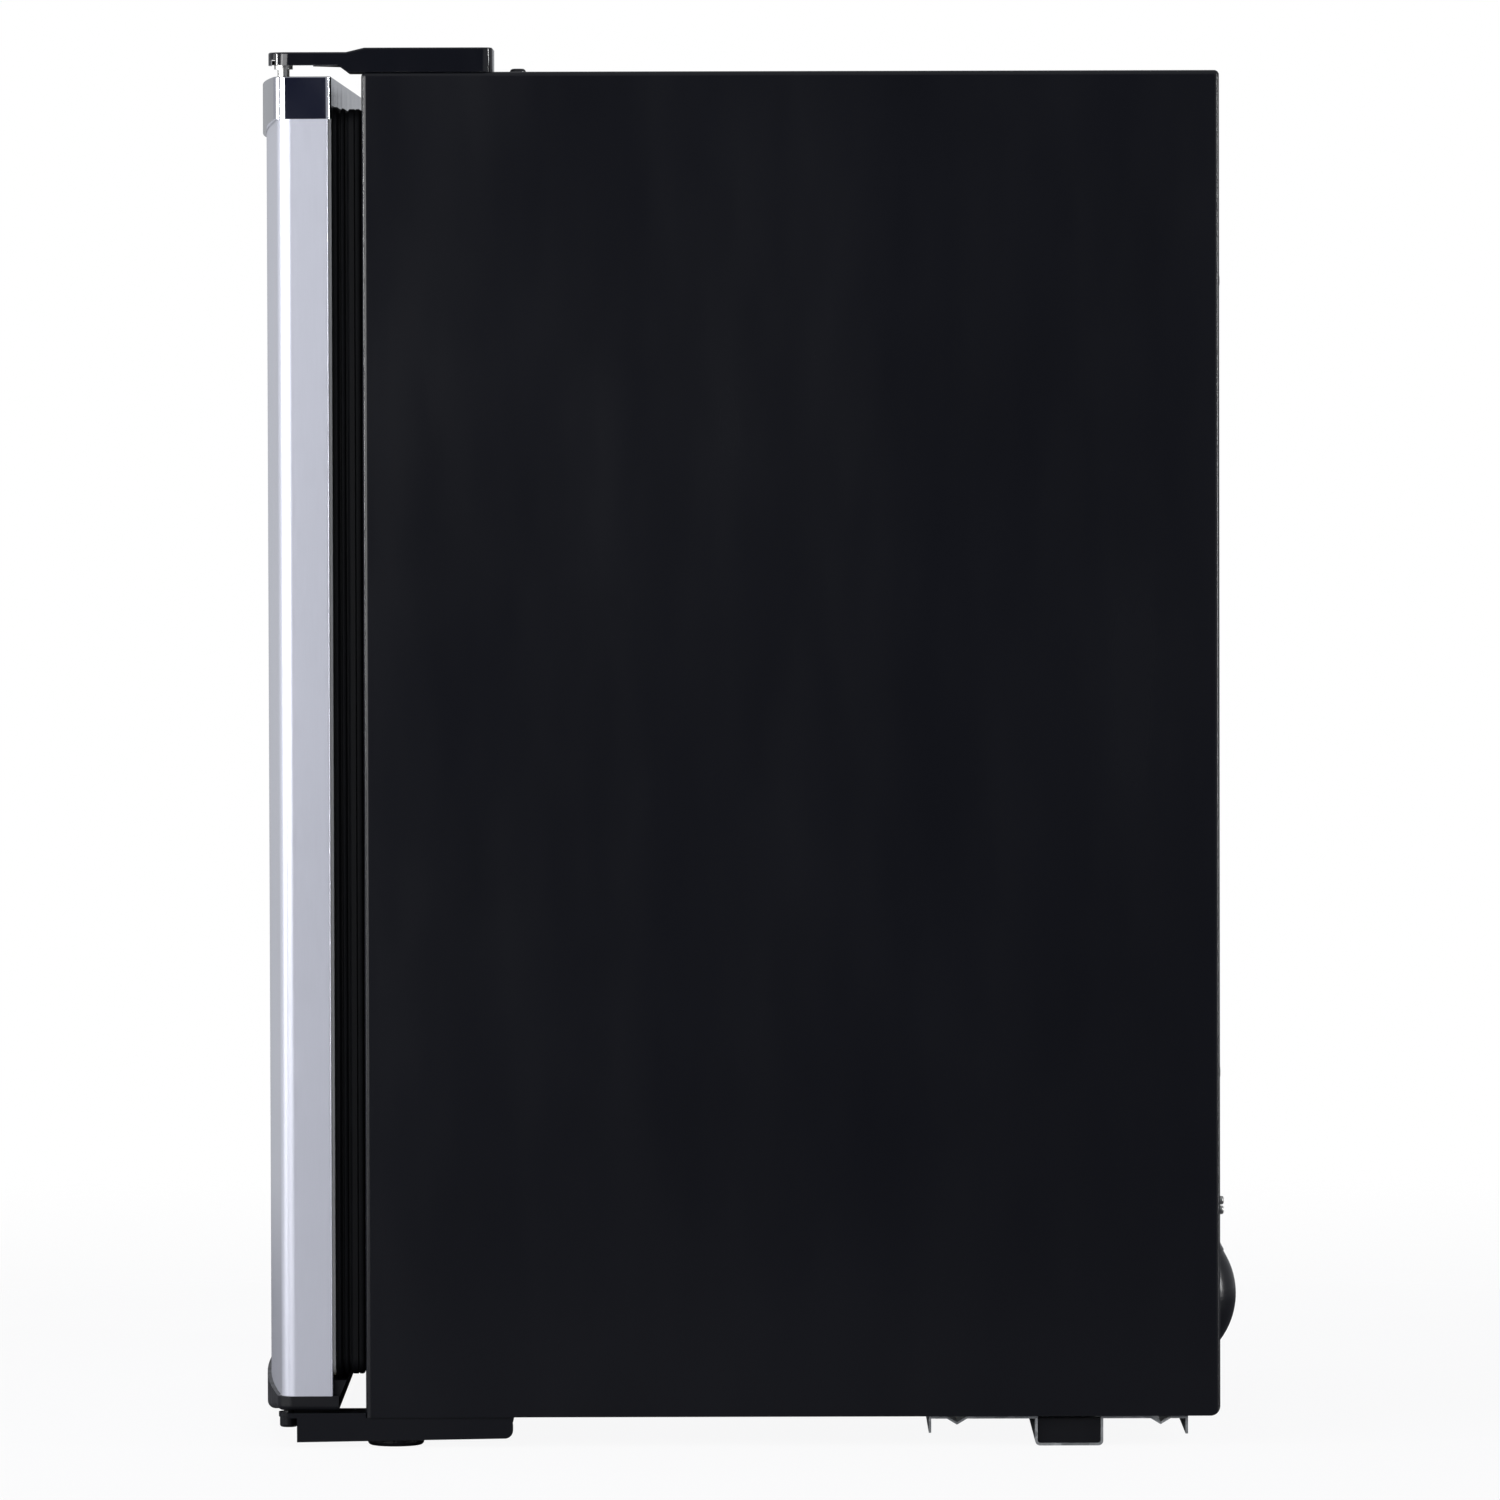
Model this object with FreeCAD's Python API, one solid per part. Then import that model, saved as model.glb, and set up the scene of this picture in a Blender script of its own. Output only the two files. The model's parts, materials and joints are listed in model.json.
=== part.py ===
"""Compact single-door refrigerator, modelled as an assembly of separate pieces.

Millimetres. X is the width, with the door hinge on the +X side. Y is the depth: the door faces -Y and
the compressor is at +Y. Z is up, and the feet stand on Z = 0. Each piece is written to parts/NAME.step.
"""
import FreeCAD, Part
import math
import os

Vector = FreeCAD.Vector
os.makedirs("parts", exist_ok=True)

# ---------------------------------------------------------------- driving dimensions
HALF_W = 262.5          # half of the cabinet's width
CAB_FRONT = -231.4      # front face of the cabinet
CAB_BACK = 282.4        # rear face of the cabinet
CAB_Z0 = 18.0           # underside of the cabinet
CAB_Z1 = 826.0          # top of the cabinet
SHEET = 1.0             # steel sheet
BEND = 3.0              # outside bend radius of the wrapper
FLANGE = 22.0           # width of the wrapper's front flange

LINER_X = 222.0         # half width of the liner, outside
LINER_Z0 = 60.0
LINER_Z1 = 782.0
LINER_BACK = 238.0
LINER_T = 1.5
STEP_Y = 56.0           # the liner steps up over the machine compartment behind this plane
STEP_Z = 272.0
LINER_ROUND = 16.0

NICHE_Y = 96.0          # front wall of the machine compartment
NICHE_Z = 232.0         # its ceiling

DOOR_BACK = -251.4      # back of the door's steel skin
DOOR_HALF = 262.0
DOOR_CORNER_Y = -281.4  # where the bowed front meets the rounded corner
DOOR_BOW = 16.0         # how far the front bows out at the middle
DOOR_CORNER_R = 9.0
DOOR_Z0 = 22.2
DOOR_SKIN_Z0 = 31.0
DOOR_SKIN_Z1 = 798.0
DOOR_Z1 = 823.4
SKIN_T = 0.8

GASKET_X = 252.0        # half width of the gasket, outside
GASKET_Z0 = 41.0
GASKET_Z1 = 806.0
GASKET_W = 16.0
GASKET_FRONT = -249.4
GASKET_BACK = -232.2

HINGE_X = 247.0         # the door's axis
HINGE_Y = -278.4
PIN_R = 3.6
LOW_PIN_R = 3.0
TOP_BUSH_R = 5.6
LOW_BUSH_R = 5.4
LOW_BUSH_Z = 24.3
RUN = 0.05              # radial running clearance

EVAP_X0, EVAP_X1 = -200.0, 118.0
EVAP_Y0, EVAP_Y1 = -70.0, 215.0
EVAP_Z0, EVAP_Z1 = 640.0, 768.0
EVAP_T = 1.6
FLAP_AXIS_Y, FLAP_AXIS_Z = -92.0, 762.0

FOOT_X = 241.0
FOOT_Y = -214.0
FOOT_R = 17.0
STUD_R = 5.0

COMP = Vector(20.0, 251.5, 77.0)   # centre of the compressor
COMP_LONG = 86.0                   # its half length along X
COMP_R = 48.0                      # its radius across
COMP_END_R = 23.5                  # rounding of its ends
COMP_FLOOR = 29.65                 # flat underside

NODES = {}


# ---------------------------------------------------------------- helpers
def box(x0, x1, y0, y1, z0, z1):
    return Part.makeBox(x1 - x0, y1 - y0, z1 - z0, Vector(x0, y0, z0))


def cylinder(radius, start, end):
    a, b = Vector(*start), Vector(*end)
    return Part.makeCylinder(radius, (b - a).Length, a, b - a)


def ring(outer, inner, start, end):
    return cylinder(outer, start, end).cut(cylinder(inner, start, end))


def runs_along(edge, axis):
    """True if a straight edge runs along X, Y or Z, given as 0, 1 or 2."""
    if not isinstance(edge.Curve, Part.Line) and edge.Curve.TypeId != "Part::GeomLine":
        return False
    return abs(abs(edge.tangentAt(edge.FirstParameter)[axis]) - 1.0) < 1e-6


def rounded(shape, radius, axis, where=None):
    """Fillets the straight edges along an axis, or those for which where(middle) is true."""
    edges = []
    for edge in shape.Edges:
        middle = edge.CenterOfMass
        if runs_along(edge, axis) and (where is None or where(middle)):
            edges.append(edge)
    return shape.makeFillet(radius, edges)


def prism(points, axis, start, end):
    """Extrudes a closed outline along an axis. Points are in the two other axes, in X, Y, Z order."""
    def place(p):
        values = list(p)
        values.insert(axis, start)
        return Vector(*values)
    corners = [place(p) for p in points]
    face = Part.Face(Part.makePolygon(corners + [corners[0]]))
    way = [0.0, 0.0, 0.0]
    way[axis] = end - start
    return face.extrude(Vector(*way))


def tube_path(points, bend):
    """Straight runs joined by tangent arcs of one bend radius."""
    points = [Vector(*p) for p in points]
    edges = []
    last = points[0]
    for before, corner, after in zip(points, points[1:], points[2:]):
        a = (before - corner).normalize()
        b = (after - corner).normalize()
        half = a.getAngle(b) / 2.0
        reach = bend / math.tan(half)
        start, end = corner + a * reach, corner + b * reach
        centre = corner + (a + b).normalize() * (bend / math.sin(half))
        middle = centre + (corner - centre).normalize() * bend
        if (start - last).Length > 1e-6:
            edges.append(Part.LineSegment(last, start).toShape())
        edges.append(Part.Arc(start, middle, end).toShape())
        last = end
    edges.append(Part.LineSegment(last, points[-1]).toShape())
    return Part.Wire(edges)


def tube(points, radius, bend):
    path = tube_path(points, bend)
    start = Vector(*points[0])
    way = Vector(*points[1]) - start
    section = Part.Wire([Part.makeCircle(radius, start, way)])
    return path.makePipeShell([section], True, True)


def fuse(first, *others):
    return first.multiFuse(list(others)).removeSplitter()


def cut(shape, *tools):
    for tool in tools:
        shape = shape.cut(tool)
    return shape


def open_box(outer, wall, open_side):
    """A box with walls of one thickness and one side left out: -1 for low Y, 3 for high Z."""
    x0, x1, y0, y1, z0, z1 = outer
    y_low = y0 - 1.0 if open_side == -1 else y0 + wall
    z_high = z1 + 1.0 if open_side == 3 else z1 - wall
    return box(*outer).cut(box(x0 + wall, x1 - wall, y_low, y1 - wall, z0 + wall, z_high))


def screw_down(x, y, z, head_r=4.0, head_h=2.2, shank_r=2.0, length=8.0):
    """A pan-head screw whose head stands on the plane z, with its shank below."""
    head = cylinder(head_r, (x, y, z), (x, y, z + head_h))
    rim = [e for e in head.Edges if abs(e.CenterOfMass.z - (z + head_h)) < 1e-6 and e.Length > 1.0]
    head = head.makeFillet(head_h * 0.6, rim[:1])
    arm = head_r * 0.55
    slot_a = box(x - arm, x + arm, y - 0.5, y + 0.5, z + head_h - 1.0, z + head_h + 1.0)
    slot_b = box(x - 0.5, x + 0.5, y - arm, y + arm, z + head_h - 1.0, z + head_h + 1.0)
    shank = cylinder(shank_r, (x, y, z - length), (x, y, z + 0.1))
    return cut(fuse(head, shank), slot_a, slot_b)


def save(name, *shapes):
    """Writes one node: every shape given is one or more separate solids of it."""
    solids = [s for shape in shapes for s in shape.Solids]
    whole = solids[0] if len(solids) == 1 else Part.makeCompound(solids)
    for solid in solids:
        if not solid.isValid() or solid.Volume <= 0:
            print("BAD SOLID in", name, solid.Volume)
    NODES[name] = whole
    whole.exportStep("parts/" + name + ".step")


# ---------------------------------------------------------------- cabinet
def cabinet_block(inset, bend):
    """The cabinet's outside, taken in by inset, with its bends and rounded lower rear corner."""
    block = box(-HALF_W + inset, HALF_W - inset, CAB_FRONT + inset, CAB_BACK - inset, CAB_Z0, CAB_Z1 - inset)
    edges = [e for e in block.Edges if e.CenterOfMass.z > CAB_Z0 + 1.0]
    return block.makeFillet(bend, edges)


def make_outer_wrapper():
    shell = cabinet_block(0.0, BEND)
    inner = cabinet_block(SHEET, BEND - SHEET)
    open_bottom = box(-HALF_W + SHEET, HALF_W - SHEET, CAB_FRONT + SHEET, CAB_BACK - SHEET,
                      CAB_Z0 - 5, CAB_Z0 + 5)
    front = HALF_W - FLANGE
    front_opening = box(-front, front, CAB_FRONT - 5, CAB_FRONT + 5, CAB_Z0 - 5, CAB_Z1 - FLANGE)
    rear = HALF_W - 12.0
    rear_opening = box(-rear, rear, CAB_BACK - 5, CAB_BACK + 5, CAB_Z0 - 5, CAB_Z1 - 12.0)
    corner = box(-HALF_W - 5, HALF_W + 5, CAB_FRONT - 5, CAB_BACK, CAB_Z0, CAB_Z1 + 5)
    corner = rounded(corner, 6.0, 0, lambda p: p.y > CAB_BACK - 1 and p.z < CAB_Z0 + 1)
    hinge_holes = [cylinder(2.2, (x, y, CAB_Z1 - 3), (x, y, CAB_Z1 + 3)) for x, y in TOP_SCREWS]
    plug_holes = [cylinder(3.0, (x, y, CAB_Z1 - 3), (x, y, CAB_Z1 + 3)) for x, y in PLUGS]
    shell = cut(shell, inner, open_bottom, front_opening, rear_opening)
    flange_holes = [cylinder(1.4, (x, CAB_BACK - 3, z), (x, CAB_BACK + 3, z)) for x, z in FLANGE_SCREWS]
    shell = cut(shell.common(corner), *hinge_holes, *plug_holes, *flange_holes)
    save("outer_wrapper", shell)


def make_front_rail():
    """Painted steel cross rail along the bottom of the front opening, with a return to the base pan."""
    x = HALF_W - FLANGE - 0.2
    face = box(-x, x, CAB_FRONT, CAB_FRONT + SHEET, CAB_Z0 + 0.2, LINER_Z0 - 18.0)
    foot = box(-x, x, CAB_FRONT, CAB_FRONT + 6.0, CAB_Z0 + 0.2, CAB_Z0 + 0.2 + SHEET)
    save("front_rail", fuse(face, foot))


def make_base_pan():
    z = CAB_Z0 + 0.05
    pan = box(-HALF_W + 1.4, HALF_W - 1.4, CAB_FRONT + 6.2, NICHE_Y - 1.8, z, z + SHEET)
    lip = box(-HALF_W + 1.4, HALF_W - 1.4, NICHE_Y - 2.8, NICHE_Y - 1.8, z, z + 14.0)
    pan = fuse(pan, lip)
    holes = [cylinder(STUD_R + 1.0, (x, FOOT_Y, z - 5), (x, FOOT_Y, z + 5)) for x in (-FOOT_X, FOOT_X)]
    holes += [cylinder(2.1, (x, y, z - 5), (x, y, z + 5)) for x, y in BOTTOM_SCREWS]
    save("base_pan", cut(pan, *holes))


def make_compartment_panel():
    """Galvanised panel that forms the front wall and the ceiling of the machine compartment."""
    x = HALF_W - 1.4
    wall = box(-x, x, NICHE_Y - 1.2, NICHE_Y, CAB_Z0 + 0.4, NICHE_Z + 1.2)
    ceiling = box(-x, x, NICHE_Y - 1.2, CAB_BACK - 3.4, NICHE_Z, NICHE_Z + 1.2)
    lip = box(-x + 12, x - 12, CAB_BACK - 4.6, CAB_BACK - 3.4, NICHE_Z - 14.0, NICHE_Z + 1.2)
    panel = fuse(wall, ceiling, lip)
    holes = [cylinder(5.0, (dx, dy, NICHE_Z - 3), (dx, dy, NICHE_Z + 5))
             for dx, dy in (SUCTION_HOLE, DRAIN_HOLE)]
    holes += [cylinder(1.9, (x, CAB_BACK - 8, z), (x, CAB_BACK, z)) for x, z in REAR_SCREWS if z < NICHE_Z]
    save("compartment_panel", cut(panel, *holes))


def make_back_panel():
    """Flat steel back, inside the wrapper's rear flange, stiffened by raised beads."""
    y = CAB_BACK - SHEET - 0.2
    x = HALF_W - 2.6
    panel = box(-x, x, y - SHEET, y, NICHE_Z - 14.0, CAB_Z1 - 2.6)
    for z in (330.0, 440.0, 550.0, 660.0):
        bead = box(-200, 200, y - 0.5, y + 1.0, z, z + 26.0)
        bead = rounded(bead, 12.0, 1)
        panel = panel.fuse(bead)
    holes = [cylinder(2.0, (x, y - 5, z), (x, y + 5, z)) for x, z in REAR_SCREWS]
    save("back_panel", cut(panel.removeSplitter(), *holes))


def liner_block(inset):
    """The liner's outside, taken in by inset, open towards the front, stepped over the compressor."""
    front = CAB_FRONT - 20.0 if inset else CAB_FRONT
    block = box(-LINER_X + inset, LINER_X - inset, front, LINER_BACK - inset,
                LINER_Z0 + inset, LINER_Z1 - inset)
    step = box(-LINER_X - 5, LINER_X + 5, STEP_Y - inset, LINER_BACK + 5, LINER_Z0 - 5, STEP_Z + inset)
    block = block.cut(step)
    edges = [e for e in block.Edges if runs_along(e, 1)]
    edges += [e for e in block.Edges if runs_along(e, 0) and e.CenterOfMass.y > front + 1.0]
    edges += [e for e in block.Edges if runs_along(e, 2) and e.CenterOfMass.y > front + 1.0]
    return block.makeFillet(LINER_ROUND - inset, edges)


def make_liner():
    shell = liner_block(0.0).cut(liner_block(LINER_T))
    flange_x = HALF_W - FLANGE - 0.4
    flange = box(-flange_x, flange_x, CAB_FRONT, CAB_FRONT + LINER_T, LINER_Z0 - 17.6, CAB_Z1 - FLANGE - 0.4)
    flange = flange.cut(liner_block(LINER_T))
    shell = fuse(shell, flange)
    ledges = []
    inside = LINER_X - LINER_T
    for z, front in LEDGES:
        for side in (-1, 1):
            back = LINER_BACK - 18.0 if z > STEP_Z else STEP_Y - 17.0
            ends = sorted((side * (inside + 0.5), side * (inside - 9.0)))
            ledges.append(box(ends[0], ends[1], front, back, z - 5.0, z))
    save("inner_liner", fuse(shell, *ledges))


def make_foam():
    block = cabinet_block(SHEET + 0.4, BEND - SHEET)
    front = box(-HALF_W, HALF_W, CAB_FRONT - 5, CAB_FRONT + LINER_T + 0.3, 0, CAB_Z1 + 5)
    back = box(-HALF_W, HALF_W, CAB_BACK - 2.6, CAB_BACK + 5, 0, CAB_Z1 + 5)
    below = box(-HALF_W, HALF_W, CAB_FRONT - 5, CAB_BACK + 5, 0, CAB_Z0 + 1.4)
    lip = box(-HALF_W, HALF_W, NICHE_Y - 3.2, NICHE_Y, 0, CAB_Z0 + 16.0)
    niche = box(-HALF_W, HALF_W, NICHE_Y - 1.4, CAB_BACK + 5, 0, NICHE_Z + 1.4)
    stud_rooms = [cylinder(8.0, (x, FOOT_Y, 0), (x, FOOT_Y, 34)) for x in (-FOOT_X, FOOT_X)]
    screw_rooms = [cylinder(3.0, (x, y, CAB_Z1 - 14), (x, y, CAB_Z1)) for x, y in TOP_SCREWS + PLUGS]
    screw_rooms += [cylinder(2.6, (x, CAB_BACK - 12, z), (x, CAB_BACK, z)) for x, z in REAR_SCREWS]
    lines = [tube(points, radius + 0.1, bend) for points, radius, bend in FOAMED_TUBES]
    block = cut(block, front, back, below, lip, niche, liner_block(-0.05), *stud_rooms, *screw_rooms, *lines)
    save("foam_insulation", block)


def make_condenser():
    """Hot-wall condenser: one serpentine foamed behind each side panel."""
    save("condenser_coils", *[tube(p, r, b) for p, r, b in FOAMED_TUBES[:2]])


def serpentine(x, y0, y1, z0, pitch, runs):
    points = []
    for i in range(runs):
        z = z0 + i * pitch
        ends = (y0, y1) if i % 2 == 0 else (y1, y0)
        points += [(x, ends[0], z), (x, ends[1], z)]
    return points


def make_rear_screws():
    screws = []
    for x, z in REAR_SCREWS:
        screw = screw_down(0, 0, 0, head_r=3.6, head_h=2.0, shank_r=1.8, length=7.0)
        screw.rotate(Vector(0, 0, 0), Vector(1, 0, 0), -90)
        screw.translate(Vector(x, CAB_BACK - SHEET - 0.2 + 0.05, z))
        screws.append(screw)
    for x, z in FLANGE_SCREWS:
        screw = screw_down(0, 0, 0, head_r=2.6, head_h=2.2, shank_r=1.3, length=7.0)
        screw.rotate(Vector(0, 0, 0), Vector(1, 0, 0), -90)
        screw.translate(Vector(x, CAB_BACK + 0.05, z))
        screws.append(screw)
    save("rear_screws", *screws)


def make_plugs():
    """Snap-in domed buttons over the spare hinge holes in the top."""
    plugs = []
    for x, y in PLUGS:
        dome = cylinder(4.9, (x, y, CAB_Z1 + 0.02), (x, y, CAB_Z1 + 2.4))
        rim = [e for e in dome.Edges if abs(e.CenterOfMass.z - CAB_Z1 - 2.4) < 1e-6]
        dome = dome.makeFillet(2.2, rim[:1])
        plugs.append(fuse(dome, cylinder(2.8, (x, y, CAB_Z1 - 6), (x, y, CAB_Z1 + 0.2))))
    save("hole_plugs", *plugs)


# ---------------------------------------------------------------- hinges
TOP_SCREWS = [(250.0, -168.0), (224.0, -168.0), (237.0, -212.0)]
PLUGS = [(236.0, -138.0), (-236.0, -138.0), (-250.0, -168.0), (-224.0, -168.0), (-237.0, -212.0)]
REAR_SCREWS = [(x, 224.0) for x in (-244.0, -120.0, 120.0, 244.0)] + [(x, 700.0) for x in (-244.0, 244.0)]
FLANGE_SCREWS = [(side * 256.5, z) for side in (-1, 1) for z in (141.6, 147.4)]
SUCTION_HOLE = (-70.0, COMP.y)
DRAIN_HOLE = (80.0, 185.0)
COVER_X0, COVER_X1 = 206.0, 262.0
COVER_Y1 = -152.7
COVER_BODY_Y0 = -231.0
ARM_X0 = 231.0
ARM_Y0 = -287.4
ARM_Z = 830.6           # underside of the hinge arm
PLATE_Z = CAB_Z1 + 0.02


def make_top_hinge():
    """Steel plate screwed to the top, joggled up over the door, with a riveted pin and a plastic cover."""
    body = box(210.0, 258.5, -226.0, -157.0, PLATE_Z, PLATE_Z + 2.5)
    body = rounded(body, 6.0, 2, lambda p: p.y > -160)
    arm = box(238.0, 256.0, HINGE_Y, -231.0, ARM_Z, ARM_Z + 2.5)
    nose = cylinder(7.0, (HINGE_X, HINGE_Y, ARM_Z), (HINGE_X, HINGE_Y, ARM_Z + 2.5))
    link = prism([(-233, ARM_Z), (-233, ARM_Z + 2.5), (-224, 828.52), (-224, PLATE_Z)], 0, 238.0, 256.0)
    plate = fuse(body, arm, nose, link)
    holes = [cylinder(2.3, (x, y, 820), (x, y, 840)) for x, y in TOP_SCREWS]
    seat = cylinder(PIN_R - 0.4, (HINGE_X, HINGE_Y, 820), (HINGE_X, HINGE_Y, 840))
    save("top_hinge_plate", cut(plate, *holes, seat))

    pin = cylinder(PIN_R, (HINGE_X, HINGE_Y, 807.5), (HINGE_X, HINGE_Y, ARM_Z - 0.02))
    tip = [e for e in pin.Edges if abs(e.CenterOfMass.z - 807.5) < 1e-6]
    pin = pin.makeChamfer(1.0, tip[:1])
    boss = cylinder(PIN_R + 2.0, (HINGE_X, HINGE_Y, ARM_Z - 2.6), (HINGE_X, HINGE_Y, ARM_Z - 0.02))
    rivet = cylinder(PIN_R - 0.42, (HINGE_X, HINGE_Y, ARM_Z - 1.0), (HINGE_X, HINGE_Y, ARM_Z + 3.0))
    save("top_hinge_pin", fuse(pin, boss, rivet))
    screws = [screw_down(x, y, PLATE_Z + 2.52, head_r=4.2, length=11.0) for x, y in TOP_SCREWS]
    save("top_hinge_screws", *screws)


def hinge_cover_block(inset):
    """Outside of the hinge cover taken in by inset: a tall body over the cabinet and a thin arm."""
    z_top, z_arm, z_low = 840.6 - inset, 838.0 - inset, ARM_Z - 0.4
    low = CAB_Z1 + 0.05
    profile = [(ARM_Y0 + inset, z_low), (ARM_Y0 + inset, z_arm), (-240.5, z_arm), (-229.5, z_top),
               (COVER_Y1 - inset, z_top), (COVER_Y1 - inset, low), (-240.0, low), (-245.6, z_low)]
    side = prism(profile, 0, COVER_X0 + inset, COVER_X1 - inset)
    plan_body = box(COVER_X0 + inset, COVER_X1 - inset, -240.0, COVER_Y1 - inset, 800, 860)
    plan_body = rounded(plan_body, 7.0 - inset, 2, lambda p: p.y > -200)
    slant = prism([(ARM_X0 + inset, ARM_Y0 + inset), (COVER_X1 - inset, ARM_Y0 + inset),
                   (COVER_X1 - inset, -239.0), (COVER_X0 + inset, -239.0), (COVER_X0 + inset, -243.0),
                   (ARM_X0 + inset, -262.0)], 2, 800, 860)
    slant = rounded(slant, 13.0 - inset, 2, lambda p: p.y < ARM_Y0 + inset + 1)
    return side.common(plan_body.fuse(slant).removeSplitter())


def make_hinge_cover():
    outer = hinge_cover_block(0.0)
    top_rim = [e for e in outer.Edges if e.BoundBox.ZMin > 836.0]
    try:
        outer = outer.makeFillet(1.2, top_rim)
    except Exception:
        print("hinge cover keeps sharp rims")
    inner = hinge_cover_block(1.8)
    below = box(COVER_X0 + 1.8, COVER_X1 - 1.8, COVER_BODY_Y0 - 1.0, COVER_Y1 - 1.8, CAB_Z1 - 5, CAB_Z1 + 4)
    under_arm = box(ARM_X0 + 1.8, COVER_X1 - 1.8, ARM_Y0 + 3.0, -232.0, 820, ARM_Z + 3.0)
    under_arm = under_arm.common(hinge_cover_block(1.8))
    shell = cut(outer, inner, below, under_arm)
    plate_room = NODES["top_hinge_plate"].BoundBox
    room = box(plate_room.XMin - 0.3, plate_room.XMax + 0.3, plate_room.YMin - 0.3, -225.0,
               820.0, ARM_Z + 3.3)
    shell = cut(shell, room.common(box(230, 260, -300, -225, 800, 860)))
    save("top_hinge_cover", max(shell.Solids, key=lambda s: s.Volume))


BOTTOM_SCREWS = [(222.0, -160.0), (248.0, -160.0), (222.0, -192.0)]


def make_bottom_hinge():
    """Black steel angle under the front corner: it carries the door's lower pin and the right foot."""
    under = box(200.0, 261.5, -232.5, -143.0, 14.9, 17.9)
    under = rounded(under, 8.0, 2, lambda p: p.y > -150 and p.x < 210)
    front = box(228.0, 261.5, HINGE_Y, -231.5, 17.7, 20.7)
    step = box(228.0, 261.5, -234.5, -231.5, 14.9, 20.7)
    nose = cylinder(6.0, (HINGE_X, HINGE_Y, 17.7), (HINGE_X, HINGE_Y, 20.7))
    flange = prism([(-273.0, 3.2), (-273.0, 20.7), (-231.5, 20.7), (-231.5, 17.9),
                    (-143.0, 17.9), (-143.0, 5.2)], 0, 259.0, 261.5)
    flange = rounded(flange, 5.0, 0, lambda p: p.y > -150)
    bracket = fuse(under, front, step, nose, flange)
    holes = [cylinder(2.4, (x, y, 10), (x, y, 25)) for x, y in BOTTOM_SCREWS]
    holes.append(cylinder(STUD_R + RUN, (FOOT_X, FOOT_Y, 10), (FOOT_X, FOOT_Y, 25)))
    holes.append(cylinder(LOW_PIN_R - 0.4, (HINGE_X, HINGE_Y, 10), (HINGE_X, HINGE_Y, 25)))
    save("bottom_hinge_bracket", cut(bracket, *holes))

    nut = cylinder(5.4, (HINGE_X, HINGE_Y, 11.4), (HINGE_X, HINGE_Y, 17.68))
    rim = [e for e in nut.Edges if abs(e.CenterOfMass.z - 11.4) < 1e-6]
    nut = nut.makeFillet(1.6, rim[:1])
    neck = cylinder(LOW_PIN_R - 0.42, (HINGE_X, HINGE_Y, 17.0), (HINGE_X, HINGE_Y, 21.0))
    pin = cylinder(LOW_PIN_R, (HINGE_X, HINGE_Y, 20.72), (HINGE_X, HINGE_Y, 30.5))
    tip = [e for e in pin.Edges if abs(e.CenterOfMass.z - 30.5) < 1e-6]
    pin = pin.makeChamfer(0.8, tip[:1])
    save("bottom_hinge_pin", fuse(nut, neck, pin))
    screws = []
    for x, y in BOTTOM_SCREWS:
        screw = screw_down(0, 0, 0, length=4.2)
        screw.rotate(Vector(0, 0, 0), Vector(1, 0, 0), 180)
        screw.translate(Vector(x, y, 14.88))
        screws.append(screw)
    save("bottom_hinge_screws", *screws)


def make_left_foot_plate():
    plate = box(-261.5, -200.0, -228.5, -180.0, 14.9, 17.9)
    plate = rounded(plate, 8.0, 2)
    hole = cylinder(STUD_R + RUN, (-FOOT_X, FOOT_Y, 10), (-FOOT_X, FOOT_Y, 25))
    rivets = [cylinder(3.5, (-FOOT_X + dx, -188.0, 13.6), (-FOOT_X + dx, -188.0, 14.9)) for dx in (-16, 16)]
    save("left_foot_plate", fuse(cut(plate, hole), *rivets))


def make_foot(name, x):
    """Levelling foot: a ribbed plastic disc on a threaded stud."""
    disc = cylinder(FOOT_R, (x, FOOT_Y, 0), (x, FOOT_Y, 7.0))
    rim = [e for e in disc.Edges if abs(e.CenterOfMass.z) < 1e-6]
    disc = disc.makeFillet(2.4, rim[:1])
    notches = []
    for i in range(16):
        angle = 2 * math.pi * i / 16
        cx, cy = x + (FOOT_R + 0.9) * math.cos(angle), FOOT_Y + (FOOT_R + 0.9) * math.sin(angle)
        notches.append(cylinder(1.8, (cx, cy, 2.6), (cx, cy, 8)))
    hub = cylinder(9.0, (x, FOOT_Y, 6.5), (x, FOOT_Y, 11.0))
    stud = cylinder(STUD_R, (x, FOOT_Y, 10.0), (x, FOOT_Y, 29.0))
    save(name, fuse(cut(disc, *notches), hub, stud))


# ---------------------------------------------------------------- machine compartment
CHANNEL_Y0, CHANNEL_Y1 = 171.0, 212.0
PLATE_Y0, PLATE_Y1 = 107.0, 263.0
PLATE_TOP = 17.8
PLATE_T = 1.5
MOUNTS = [(COMP.x + dx, y) for dx in (-98.0, 98.0) for y in (150.0, 227.0)]


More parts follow.
